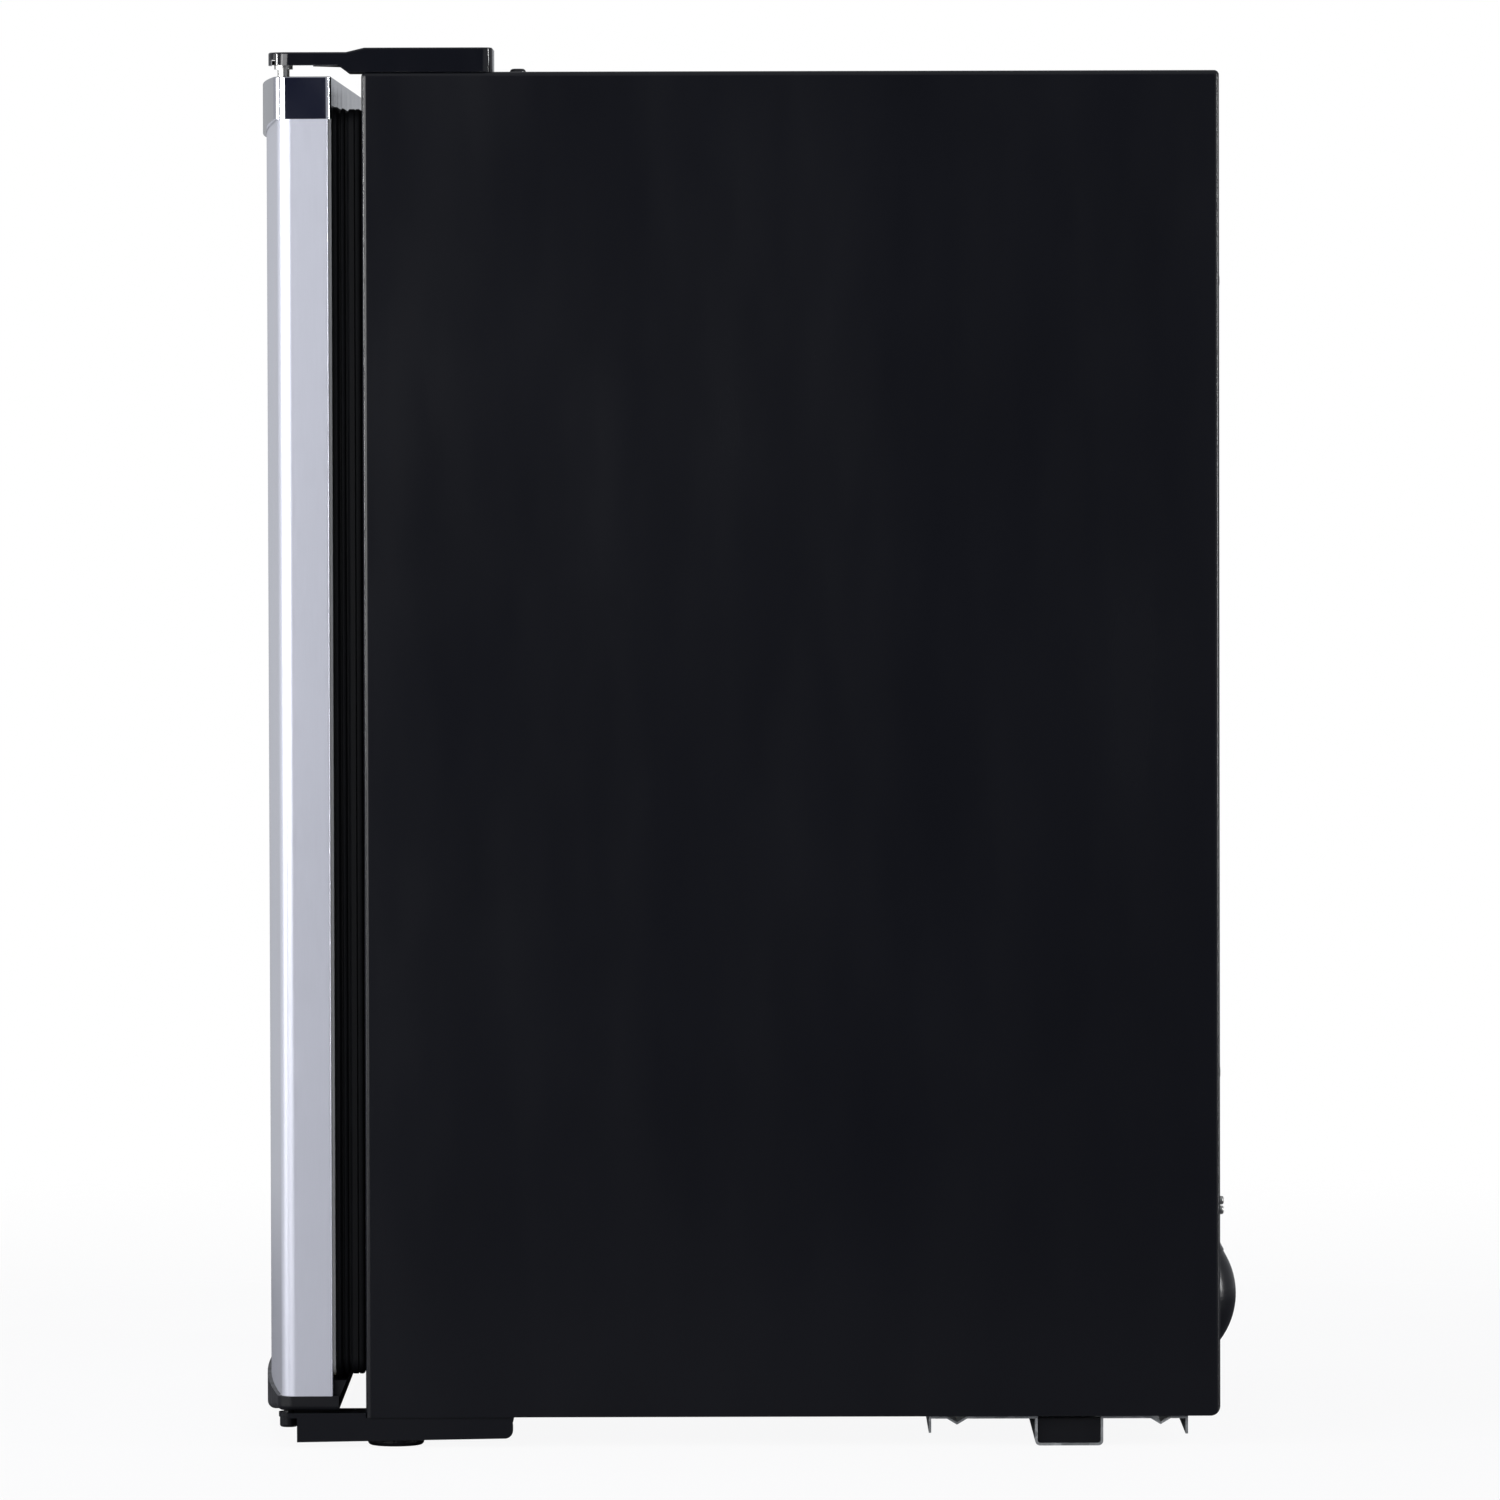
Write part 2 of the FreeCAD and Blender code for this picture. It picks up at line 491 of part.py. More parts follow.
def make_compressor_plate():
    """Galvanised cross member under the rear: a pressed channel makes the rear feet."""
    t, top = PLATE_T, PLATE_TOP
    low = top - t
    x = HALF_W - 3.0

    def bead(y):
        return [(y - 6, low), (y, low - 3.6), (y + 6, low)], [(y + 6, top), (y, top - 3.6), (y - 6, top)]

    under_a, over_a = bead(124.0)
    under_b, over_b = bead(246.5)
    outline = [(PLATE_Y0, top), (PLATE_Y0, 7.8), (PLATE_Y0 + t, 7.8), (PLATE_Y0 + t, low)]
    outline += under_a
    outline += [(CHANNEL_Y0, low), (CHANNEL_Y0, 0.0), (CHANNEL_Y1, 0.0), (CHANNEL_Y1, low)]
    outline += under_b
    outline += [(PLATE_Y1 - t, low), (PLATE_Y1 - t, 7.0), (PLATE_Y1, 7.0), (PLATE_Y1, top)]
    outline += over_b
    outline += [(CHANNEL_Y1 - t, top), (CHANNEL_Y1 - t, t), (CHANNEL_Y0 + t, t), (CHANNEL_Y0 + t, top)]
    outline += over_a
    plate = prism(outline, 0, -x, x)
    plate = rounded(plate, 3.0, 0, lambda p: p.z < 0.5)
    plate = rounded(plate, 1.8, 0, lambda p: abs(p.z - t) < 0.2 and CHANNEL_Y0 < p.y < CHANNEL_Y1)
    holes = [cylinder(3.2, (mx, my, 0), (mx, my, 30)) for mx, my in MOUNTS]
    save("compressor_plate", cut(plate, *holes))
    plugs = []
    for side in (-1, 1):
        ends = sorted((side * (x - 1.5), side * (x - 9.5)))
        plug = box(ends[0], ends[1], CHANNEL_Y0 + t + 0.1, CHANNEL_Y1 - t - 0.1, t + 0.05, top - 1.5)
        plugs.append(rounded(plug, 1.8, 0, lambda p: p.z < t + 1))
    save("channel_plugs", *plugs)


def drum(grow):
    """The compressor's outline: a round-ended drum lying along X, grown by a given amount."""
    long_half, radius = COMP_LONG + grow, COMP_R + grow
    body = cylinder(radius, (COMP.x - long_half, COMP.y, COMP.z), (COMP.x + long_half, COMP.y, COMP.z))
    rims = [e for e in body.Edges if abs(abs(e.CenterOfMass.x - COMP.x) - long_half) < 1e-6]
    return body.makeFillet(COMP_END_R, rims)


def make_compressor():
    """Sealed compressor: two drawn steel shells, lapped and welded at a seam, on a footed base."""
    far = 200.0
    body = drum(0.0)
    skirt = drum(0.8)
    seam = COMP.z + 30.0
    above = box(COMP.x - far, COMP.x + far, COMP.y - far, COMP.y + far, seam + 3.0, COMP.z + far)
    below = box(COMP.x - far, COMP.x + far, COMP.y - far, COMP.y + far, COMP_FLOOR, seam - 3.0)
    band = box(COMP.x - far, COMP.x + far, COMP.y - far, COMP.y + far, seam - 3.0, seam + 3.0)
    save("compressor_upper_shell", body.common(above))
    lower = fuse(body.common(below), skirt.common(band))
    save("compressor_lower_shell", lower)

    foot_plate = rounded(box(COMP.x - 110, COMP.x + 110, 138.0, 262.0, 27.2, 29.6), 11.0, 2)
    foot_plate = cut(foot_plate, *[cylinder(6.0, (mx, my, 20), (mx, my, 40)) for mx, my in MOUNTS])
    save("compressor_feet", max(foot_plate.Solids, key=lambda s: s.Volume))

    grommets = []
    studs = []
    for mx, my in MOUNTS:
        low = ring(9.0, 3.3, (mx, my, PLATE_TOP + 0.02), (mx, my, 27.1))
        waist = ring(5.9, 3.3, (mx, my, 27.1), (mx, my, 29.7))
        top = ring(8.0, 3.3, (mx, my, 29.7), (mx, my, 33.0))
        grommets.append(fuse(low, waist, top))
        head = cylinder(5.4, (mx, my, PLATE_TOP - PLATE_T - 3.0), (mx, my, PLATE_TOP - PLATE_T - 0.02))
        shank = cylinder(3.0, (mx, my, PLATE_TOP - PLATE_T - 0.1), (mx, my, 38.0))
        nut = cylinder(6.0, (mx, my, 33.05), (mx, my, 36.0))
        studs.append(fuse(head, shank, nut))
    save("compressor_grommets", *grommets)
    save("compressor_studs", *studs)


def make_terminal_cover():
    """Plastic cover over the electrical terminals, on the compressor's end away from the hinge."""
    x0, x1 = COMP.x - COMP_LONG - 30.0, COMP.x - COMP_LONG + 16.0
    y0, y1, z0, z1 = COMP.y - 46.0, COMP.y + 16.0, COMP.z - 30.0, COMP.z + 34.0
    block = rounded(box(x0, x1, y0, y1, z0, z1), 6.0, 0)
    room = rounded(box(x0 + 2.0, x1 + 5.0, y0 + 2.0, y1 - 2.0, z0 + 2.0, z1 - 2.0), 4.0, 0)
    shell = cut(block, room, drum(1.2))
    inlet_x, inlet_z = x0 + 18.0, z0 + 16.0
    shell = cut(shell, cylinder(6.0, (inlet_x, y1 - 5, inlet_z), (inlet_x, y1 + 5, inlet_z)))
    save("terminal_cover", max(shell.Solids, key=lambda s: s.Volume))
    gland = ring(5.9, 3.8, (inlet_x, y1 - 3.0, inlet_z), (inlet_x, y1 + 9.0, inlet_z))
    collar = ring(8.5, 3.8, (inlet_x, y1 + 0.05, inlet_z), (inlet_x, y1 + 2.5, inlet_z))
    save("cord_gland", fuse(gland, collar))


def make_refrigerant_parts():
    drier = cylinder(8.0, (-150, 236, 70), (-150, 236, 150))
    ends = [e for e in drier.Edges if e.Length > 1 and abs(e.CenterOfMass.x + 150) < 1e-6
            and (abs(e.CenterOfMass.z - 70) < 1e-6 or abs(e.CenterOfMass.z - 150) < 1e-6)]
    drier = drier.makeFillet(4.0, ends)
    save("filter_drier", drier)
    save("refrigerant_tubes", *[tube(points, radius, bend) for points, radius, bend in LOOSE_TUBES])


CONDENSER_X = HALF_W - SHEET - 0.6 - 2.6
FOAMED_TUBES = [
    (serpentine(CONDENSER_X, -190.0, 240.0, 320.0, 60.0, 8), 2.38, 20.0),
    (serpentine(-CONDENSER_X, -190.0, 240.0, 320.0, 60.0, 8), 2.38, 20.0),
]
LOOSE_TUBES = [
    ([(COMP.x + 50, COMP.y - 46.4, 95), (COMP.x + 50, 118, 95), (COMP.x + 185, 118, 95),
      (COMP.x + 185, 118, 231.5)], 2.38, 14.0),
    ([(COMP.x - 40, COMP.y, COMP.z + COMP_R + 0.05), (COMP.x - 40, COMP.y, 148), (-70, COMP.y, 148),
      (-70, COMP.y, 231.8)], 3.2, 8.0),
    ([(-150, 236, 150.02), (-150, 236, 214), (-205, 236, 214), (-205, 236, 231.8)], 2.38, 14.0),
    ([(-150, 236, 69.98), (-150, 236, 52), (-180, 236, 52), (-180, 150, 52), (-180, 150, 231.8)], 1.3, 10.0),
]


def make_pan():
    """Plastic pan over the compressor: it catches the melt water, and the compressor's heat dries it."""
    save("evaporating_pan", open_box((5.0, 135.0, 165.0, 270.0, 125.0, 152.0), 2.0, 3))
    x, y = DRAIN_HOLE
    spout = ring(4.8, 3.4, (x, y, 168.0), (x, y, NICHE_Z + 1.3))
    save("drain_spout", fuse(spout, ring(7.5, 3.4, (x, y, NICHE_Z - 2.6), (x, y, NICHE_Z - 0.05))))


# ---------------------------------------------------------------- inside
LEDGES = [(258.0, -170.0), (330.0, -170.0), (400.0, -170.0), (470.0, -170.0), (540.0, -170.0)]
SHELVES = {"glass_shelf_upper": 470.0, "glass_shelf_lower": 330.0}
SHELF_X = LINER_X - LINER_T - 2.0
SHELF_Y0, SHELF_Y1 = -128.0, 216.0


def make_shelves():
    trims = []
    for name, z in SHELVES.items():
        glass = box(-SHELF_X, SHELF_X, SHELF_Y0, SHELF_Y1, z + 0.05, z + 4.05)
        save(name, rounded(glass, 6.0, 2))
        trim = box(-SHELF_X, SHELF_X, SHELF_Y0 - 7.0, SHELF_Y0 + 8.0, z - 3.0, z + 7.0)
        trim = rounded(trim, 3.0, 0, lambda p: p.y < SHELF_Y0 - 5)
        slot = box(-SHELF_X - 1, SHELF_X + 1, SHELF_Y0 - 0.3, SHELF_Y0 + 20, z, z + 4.15)
        ends = [box(min(a, b), max(a, b), SHELF_Y0 - 20, SHELF_Y0 + 20, z - 6, z + 0.0)
                for a, b in ((SHELF_X - 11, SHELF_X + 1), (-SHELF_X + 11, -SHELF_X - 1))]
        trims.append(cut(trim, slot, *ends))
    save("shelf_trims", *trims)
    cover = box(-SHELF_X, SHELF_X, -118.0, STEP_Y - 20.0, 258.05, 262.05)
    save("crisper_cover_glass", rounded(cover, 6.0, 2))


CRISPER = (-205.0, 205.0, -88.0, 40.0, 66.0, 244.0)


def make_crisper():
    """Clear drawer with tapered corners, a moulded rim and a finger pull along the front."""
    x0, x1, y0, y1, z0, z1 = CRISPER
    outer = rounded(box(*CRISPER), 14.0, 2)
    inner = rounded(box(x0 + 2.4, x1 - 2.4, y0 + 2.4, y1 - 2.4, z0 + 2.6, z1 + 5), 11.6, 2)
    rim = rounded(box(x0 - 4, x1 + 4, y0 - 4, y1 + 2, z1 - 4, z1), 15.0, 2)
    pull = box(-90, 90, y0 - 12, y0, z1 - 8, z1)
    pull = rounded(pull, 6.0, 2, lambda p: p.y < y0 - 10)
    drawer = fuse(outer, rim, pull).cut(inner)
    scoop = box(-84, 84, y0 - 10, y0 - 2.0, z1 - 12, z1 - 2.5)
    save("crisper_drawer", cut(drawer, scoop))


def make_evaporator():
    """Roll-bond aluminium freezer box, open to the front, with inflated channels on its faces."""
    shell = open_box((EVAP_X0, EVAP_X1, EVAP_Y0, EVAP_Y1, EVAP_Z0, EVAP_Z1), EVAP_T, -1)
    beads = []
    middle = (EVAP_X0 + EVAP_X1) / 2
    for i in range(6):
        y = EVAP_Y0 + 30 + i * 44
        beads.append(box(EVAP_X0 + 24, EVAP_X1 - 24, y, y + 9, EVAP_Z0 - 1.6, EVAP_Z0 + 0.4))
        beads.append(box(EVAP_X0 + 24, EVAP_X1 - 24, y, y + 9, EVAP_Z1 - 0.4, EVAP_Z1 + 1.6))
    beads.append(box(middle - 4.5, middle + 4.5, EVAP_Y0 + 30, EVAP_Y1 - 30, EVAP_Z0 - 1.6, EVAP_Z0 + 0.4))
    save("evaporator", fuse(shell, *beads))
    hangers = []
    for x in (EVAP_X0 + 12, EVAP_X1 - 12):
        for y in (-40.0, 180.0):
            hangers.append(ring(6.0, 2.2, (x, y, EVAP_Z1 + 0.05), (x, y, LINER_Z1 - LINER_T - 0.05)))
    save("evaporator_hangers", *hangers)


FRAME_Y0, FRAME_Y1 = -84.0, EVAP_Y0 - 0.1
EAR_Y0 = -100.0


def make_freezer_front():
    x0, x1, z0, z1 = EVAP_X0 - 7, EVAP_X1 + 7, EVAP_Z0 - 5, EVAP_Z1 + 6
    frame = rounded(box(x0, x1, FRAME_Y0, FRAME_Y1, z0, z1), 6.0, 1)
    frame = frame.cut(box(x0 + 14, x1 - 14, FRAME_Y0 - 5, FRAME_Y1 + 5, z0 + 12, z1 - 16))
    ears = []
    for a, b in ((x0, x0 + 5.0), (x1 - 5.0, x1)):
        ear = box(a, b, EAR_Y0, FRAME_Y0 + 1, FLAP_AXIS_Z - 9, FLAP_AXIS_Z + 9)
        ears.append(rounded(ear, 7.0, 0, lambda p: p.y < EAR_Y0 + 1))
    pin_hole = cylinder(2.5 + 0.1, (x0 - 5, FLAP_AXIS_Y, FLAP_AXIS_Z), (x1 + 5, FLAP_AXIS_Y, FLAP_AXIS_Z))
    save("freezer_frame", cut(fuse(frame, *ears), pin_hole))

    fx0, fx1 = x0 + 5.6, x1 - 5.6
    fy0, fy1, fz0, fz1 = -97.0, -85.2, EVAP_Z0 + 2, FLAP_AXIS_Z + 5.0
    flap = rounded(box(fx0, fx1, fy0, fy1, fz0, fz1), 5.0, 1)
    flap = rounded(flap, 4.5, 0, lambda p: p.z > fz1 - 1)
    hollow = box(fx0 + 10, fx1 - 10, fy0 + 3.0, fy1 + 5, fz0 + 8, fz1 - 18)
    pin_room = cylinder(2.5, (fx0 - 1, FLAP_AXIS_Y, FLAP_AXIS_Z), (fx0 + 12, FLAP_AXIS_Y, FLAP_AXIS_Z))
    pin_room_b = cylinder(2.5, (fx1 - 12, FLAP_AXIS_Y, FLAP_AXIS_Z), (fx1 + 1, FLAP_AXIS_Y, FLAP_AXIS_Z))
    grip = box(-90, 10, fy0 - 1.0, fy0 + 2.0, fz0 + 6, fz0 + 26)
    grip = rounded(grip, 8.0, 1)
    lip = box(-70, -10, fy0 - 11.0, fy0 + 0.5, fz0 + 2.0, fz0 + 5.0)
    lip = rounded(lip, 4.0, 2, lambda p: p.y < fy0 - 9)
    save("freezer_flap", fuse(cut(flap, hollow, pin_room, pin_room_b, grip), lip))
    pins = [cylinder(2.5, (fx0 + 11.9, FLAP_AXIS_Y, FLAP_AXIS_Z), (x0 + 0.4, FLAP_AXIS_Y, FLAP_AXIS_Z)),
            cylinder(2.5, (fx1 - 11.9, FLAP_AXIS_Y, FLAP_AXIS_Z), (x1 - 0.4, FLAP_AXIS_Y, FLAP_AXIS_Z))]
    save("freezer_flap_pins", *pins)


TRAY = (-190.0, 108.0, -96.0, 205.0, 612.0, 631.0)


def make_drip_tray():
    x0, x1, y0, y1, z0, z1 = TRAY
    tray = open_box(TRAY, 1.8, 3)
    lips = box(x0 - 9, x1 + 9, y0, y1, z1 - 4.0, z1 - 2.0)
    lips = lips.cut(box(x0 + 0.5, x1 - 0.5, y0 - 5, y1 + 5, 600, 650))
    pull = box(-80, 0, y0 - 8, y0 + 0.5, z0, z0 + 2.4)
    pull = rounded(pull, 5.0, 2, lambda p: p.y < y0 - 6)
    save("drip_tray", fuse(tray, pull, *lips.Solids))
    runners = []
    for side in (-1, 1):
        edge = x0 - 9 if side < 0 else x1 + 9
        web = sorted((edge + side * 0.6, edge + side * 2.6))
        foot = sorted((edge + side * 2.6, edge - side * 6.0))
        upright = box(web[0], web[1], y0 + 28, y1, z1 - 8.0, EVAP_Z0 - 0.1)
        shelf = box(foot[0], foot[1], y0 + 28, y1, z1 - 8.0, z1 - 5.0)
        runners.append(fuse(upright, shelf))
    save("tray_runners", *runners)


THERMO = (134.0, 218.0, -112.0, -26.0, 688.0, 779.8)
KNOB_X, KNOB_Z = 176.0, 736.0


def make_thermostat():
    """Control housing beside the freezer, with a vented shell, a switch inside and a round knob."""
    x0, x1, y0, y1, z0, z1 = THERMO
    block = rounded(box(*THERMO), 8.0, 0, lambda p: p.y < y0 + 1)
    block = rounded(block, 6.0, 2, lambda p: p.y < y0 + 1 and p.x < x0 + 1)
    block = rounded(block, 14.0, 1, lambda p: p.x > x1 - 1 and p.z > z1 - 1)
    room = box(x0 + 2, x1 + 5, y0 + 2, y1 + 5, z0 + 2, z1 + 5)
    vents = [box(x0 + 14, x1 - 14, y0 + 30 + 10 * i, y0 + 34 + 10 * i, z0 - 5, z0 + 5) for i in range(4)]
    hole = cylinder(3.2, (KNOB_X, y0 - 5, KNOB_Z), (KNOB_X, y0 + 5, KNOB_Z))
    tube_hole = cylinder(1.7, (x0 + 8, y0 + 24, z0 - 5), (x0 + 8, y0 + 24, z0 + 5))
    save("thermostat_housing", cut(block, room, hole, tube_hole, *vents))
    switch = rounded(box(KNOB_X - 20, KNOB_X + 20, y0 + 8, y0 + 44, KNOB_Z - 24, KNOB_Z + 24), 3.0, 1)
    collar = cylinder(6.0, (KNOB_X, y0 + 2.2, KNOB_Z), (KNOB_X, y0 + 8.2, KNOB_Z))
    bore = cylinder(3.0 + RUN, (KNOB_X, y0 - 5, KNOB_Z), (KNOB_X, y0 + 24.0, KNOB_Z))
    save("thermostat_switch", cut(fuse(switch, collar), bore))
    skirt = cylinder(19.0, (KNOB_X, y0 - 4.5, KNOB_Z), (KNOB_X, y0 - 0.6, KNOB_Z))
    cap = cylinder(15.0, (KNOB_X, y0 - 16.0, KNOB_Z), (KNOB_X, y0 - 4.0, KNOB_Z))
    rim = [e for e in cap.Edges if abs(e.CenterOfMass.y - (y0 - 16.0)) < 1e-6]
    cap = cap.makeFillet(2.0, rim[:1])
    flutes = []
    for i in range(18):
        angle = 2 * math.pi * i / 18
        fx, fz = KNOB_X + 15.6 * math.cos(angle), KNOB_Z + 15.6 * math.sin(angle)
        flutes.append(cylinder(1.5, (fx, y0 - 20, fz), (fx, y0 - 4.5, fz)))
    stem = cylinder(3.0, (KNOB_X, y0 - 5.0, KNOB_Z), (KNOB_X, y0 + 23.0, KNOB_Z))
    mark = box(KNOB_X - 0.8, KNOB_X + 0.8, y0 - 17, y0 - 15.2, KNOB_Z + 4, KNOB_Z + 13)
    save("thermostat_knob", fuse(cut(cap, *flutes, mark), skirt, stem))
    low = KNOB_Z - 60
    path = [(KNOB_X - 20.05, y0 + 24, KNOB_Z - 10), (x0 + 8, y0 + 24, KNOB_Z - 10), (x0 + 8, y0 + 24, low),
            (x0 + 8, y0 + 150, low)]
    save("thermostat_sensor_tube", tube(path, 1.2, 5.0))


# ---------------------------------------------------------------- door
def door_inner(z0, z1, inset, back=DOOR_BACK):
    """The door's bowed block between two heights, taken in by inset on the sides and the front."""
    half = DOOR_HALF - inset
    corner_y, middle_y = DOOR_CORNER_Y + inset, DOOR_CORNER_Y - DOOR_BOW + inset
    left, right = Vector(-half, corner_y, z0), Vector(half, corner_y, z0)
    wire = Part.Wire([
        Part.LineSegment(Vector(-half, back, z0), left).toShape(),
        Part.Arc(left, Vector(0, middle_y, z0), right).toShape(),
        Part.LineSegment(right, Vector(half, back, z0)).toShape(),
        Part.LineSegment(Vector(half, back, z0), Vector(-half, back, z0)).toShape(),
    ])
    block = Part.Face(wire).extrude(Vector(0, 0, z1 - z0))
    return rounded(block, DOOR_CORNER_R - inset, 2, lambda p: p.y < back - 5)


def make_door_skin():
    """Steel wrap: bowed front, rounded corners, sides and a return flange behind."""
    outer = door_inner(DOOR_SKIN_Z0, DOOR_SKIN_Z1, 0.0)
    outer = rounded(outer, 1.4, 2, lambda p: p.y > DOOR_BACK - 1)
    inner = door_inner(DOOR_SKIN_Z0 - 5, DOOR_SKIN_Z1 + 5, SKIN_T, back=DOOR_BACK - SKIN_T)
    window_x = DOOR_HALF - 10.0
    window = box(-window_x, window_x, DOOR_BACK - 5, DOOR_BACK + 5, DOOR_SKIN_Z0 - 5, DOOR_SKIN_Z1 + 5)
    save("door_skin", cut(outer, inner, window))


VALANCE_X = 236.0
VALANCE_DROP = 14.8
VALANCE_T = 5.0
VALANCE_ROLL = 3.5
GRIP_X = 150.0
GRIP_Y0, GRIP_Y1 = -287.0, -257.0
GRIP_Z = 805.0
CAP_OUT = 2.2
CAP_DROOP = 5.5
CAP_CORNER_R = 8.0


def cap_outline(out, back, half):
    corner, middle = DOOR_CORNER_Y - out, DOOR_CORNER_Y - DOOR_BOW - out
    left, right = Vector(-half, corner, 0), Vector(half, corner, 0)
    return Part.Face(Part.Wire([
        Part.LineSegment(Vector(-half, back, 0), left).toShape(),
        Part.Arc(left, Vector(0, middle, 0), right).toShape(),
        Part.LineSegment(right, Vector(half, back, 0)).toShape(),
        Part.LineSegment(Vector(half, back, 0), Vector(-half, back, 0)).toShape(),
    ]))


def cap_block(z0, z1, out, back, half, corner, rear):
    face = cap_outline(out, back, half)
    face.translate(Vector(0, 0, z0))
    block = face.extrude(Vector(0, 0, z1 - z0))
    block = rounded(block, corner, 2, lambda p: p.y < back - 8)
    if rear:
        block = rounded(block, rear, 2, lambda p: p.y > back - 1)
    return block


def make_door_top_cap():
    """Bright moulded cap. Its front edge droops at the middle, and a trough in its top is the handle."""
    back = DOOR_BACK + 2.0
    block = cap_block(DOOR_SKIN_Z1 + 0.05, DOOR_Z1, CAP_OUT, back, DOOR_HALF, CAP_CORNER_R, 4.0)
    rim = [e for e in block.Edges if abs(e.CenterOfMass.z - DOOR_Z1) < 1e-6]
    block = block.makeFillet(0.8, rim)
    apron = cap_block(DOOR_SKIN_Z1 - 14.0, DOOR_SKIN_Z1 + 2.0, CAP_OUT, back, DOOR_HALF, CAP_CORNER_R, 0)
    apron = apron.cut(door_inner(DOOR_SKIN_Z1 - 30.0, DOOR_SKIN_Z1 + 10.0, -0.15, back=back + 20))
    reach = 262.0
    sag = CAP_DROOP
    radius = (reach * reach + sag * sag) / (2 * sag)
    keep = cylinder(radius, (0, -400, DOOR_SKIN_Z1 - sag + radius), (0, -200, DOOR_SKIN_Z1 - sag + radius))
    apron = apron.common(keep).common(box(-300, 300, -320, -276, 700, 900))
    hollow = door_inner(DOOR_SKIN_Z1 - 5, DOOR_Z1 - 2.4, 2.4 - CAP_OUT + 2.4, back=back - 2.4)
    trough = rounded(box(-GRIP_X, GRIP_X, GRIP_Y0, GRIP_Y1, GRIP_Z, DOOR_Z1 + 5), 10.0, 2)
    trough_wall = box(-GRIP_X - 2, GRIP_X + 2, GRIP_Y0 - 2, GRIP_Y1 + 2, GRIP_Z - 2, DOOR_Z1 - 1)
    trough_wall = rounded(trough_wall, 12.0, 2)
    seat_low, seat_high = (HINGE_X, HINGE_Y, DOOR_SKIN_Z1 + 0.05), (HINGE_X, HINGE_Y, DOOR_Z1 - 0.5)
    bush_seat = cylinder(TOP_BUSH_R + 1.2, seat_low, seat_high)
    cap = fuse(block.cut(hollow), trough_wall.common(block), bush_seat.common(block)).cut(trough)
    hole_low, hole_high = (HINGE_X, HINGE_Y, DOOR_SKIN_Z1 - 5), (HINGE_X, HINGE_Y, DOOR_Z1 + 5)
    cap = cap.cut(cylinder(TOP_BUSH_R + 0.05, hole_low, hole_high))
    behind = box(-GASKET_X - 0.3, GASKET_X + 0.3, DOOR_BACK, 0, DOOR_SKIN_Z1 - 5, GASKET_Z1 + 0.3)
    save("door_top_cap", fuse(cap.cut(behind), apron))


def make_valance():
    """Skirt along the front of the bottom cap, hanging lowest at the middle of the door."""
    z0, z1 = DOOR_Z0 - VALANCE_DROP - 2.0, DOOR_Z0 + 4.0
    wall = cap_block(z0, z1, 2.35, DOOR_BACK, DOOR_HALF, 9.5, 0)
    wall = wall.cut(door_inner(z0 - 1, z1 + 1, VALANCE_T, back=DOOR_BACK + 5))
    radius = (VALANCE_X ** 2 + VALANCE_DROP ** 2) / (2 * VALANCE_DROP)
    centre = DOOR_Z0 + 0.2 - VALANCE_DROP + radius
    keep = cylinder(radius, (0, -400, centre), (0, -200, centre))
    skirt = wall.common(keep).common(box(-VALANCE_X, VALANCE_X, -320, HINGE_Y - 1.0, 0, 100))
    front = min(e.CenterOfMass.y for e in skirt.Edges if e.Length > VALANCE_X)
    long_edges = [e for e in skirt.Edges if e.Length > VALANCE_X and e.CenterOfMass.z < DOOR_Z0]
    hem = [e for e in long_edges if e.CenterOfMass.y < front + 1.0]
    return skirt.makeFillet(VALANCE_ROLL, hem)


def make_door_bottom_cap():
    """Black moulded cap under the door, with a soft lower front edge and a sloped rear lip."""
    back = DOOR_BACK + 3.6
    block = cap_block(DOOR_Z0, DOOR_SKIN_Z0 - 0.05, 2.4, back, DOOR_HALF, 9.5, 0)
    rim = [e for e in block.Edges if abs(e.CenterOfMass.z - DOOR_Z0) < 1e-6
           and e.CenterOfMass.y < DOOR_BACK - 5 and e.Length > 400]
    block = block.makeFillet(3.0, rim)
    lip = prism([(DOOR_BACK + 0.4, 29.0), (back, 29.0), (back + 4.6, GASKET_Z0 - 1.0),
                 (DOOR_BACK + 0.4, GASKET_Z0 - 1.0)], 0, -255.0, 255.0)
    seat_low, seat_high = (HINGE_X, HINGE_Y, LOW_BUSH_Z), (HINGE_X, HINGE_Y, DOOR_SKIN_Z0 + 5)
    bush_seat = cylinder(LOW_BUSH_R + 0.05, seat_low, seat_high)
    pin_hole = cylinder(LOW_PIN_R + 0.4, (HINGE_X, HINGE_Y, DOOR_Z0 - 5), (HINGE_X, HINGE_Y, DOOR_SKIN_Z0))
    save("door_bottom_cap", cut(fuse(block, lip, make_valance()), bush_seat, pin_hole))


def make_door_bushes():
    top = ring(TOP_BUSH_R, PIN_R + RUN, (HINGE_X, HINGE_Y, 803.0), (HINGE_X, HINGE_Y, DOOR_Z1))
    floor = cylinder(TOP_BUSH_R, (HINGE_X, HINGE_Y, 801.0), (HINGE_X, HINGE_Y, 803.0))
    upper = fuse(top, floor)
    low_start, low_end = (HINGE_X, HINGE_Y, LOW_BUSH_Z), (HINGE_X, HINGE_Y, DOOR_SKIN_Z0 - 0.1)
    save("door_bushes", upper, ring(LOW_BUSH_R, LOW_PIN_R + RUN, low_start, low_end))


DYKE_X, DYKE_Z0, DYKE_Z1 = 206.0, 76.0, 768.0
DYKE_W = 14.0
DYKE_Y = -217.0
PANEL_Y = -237.0


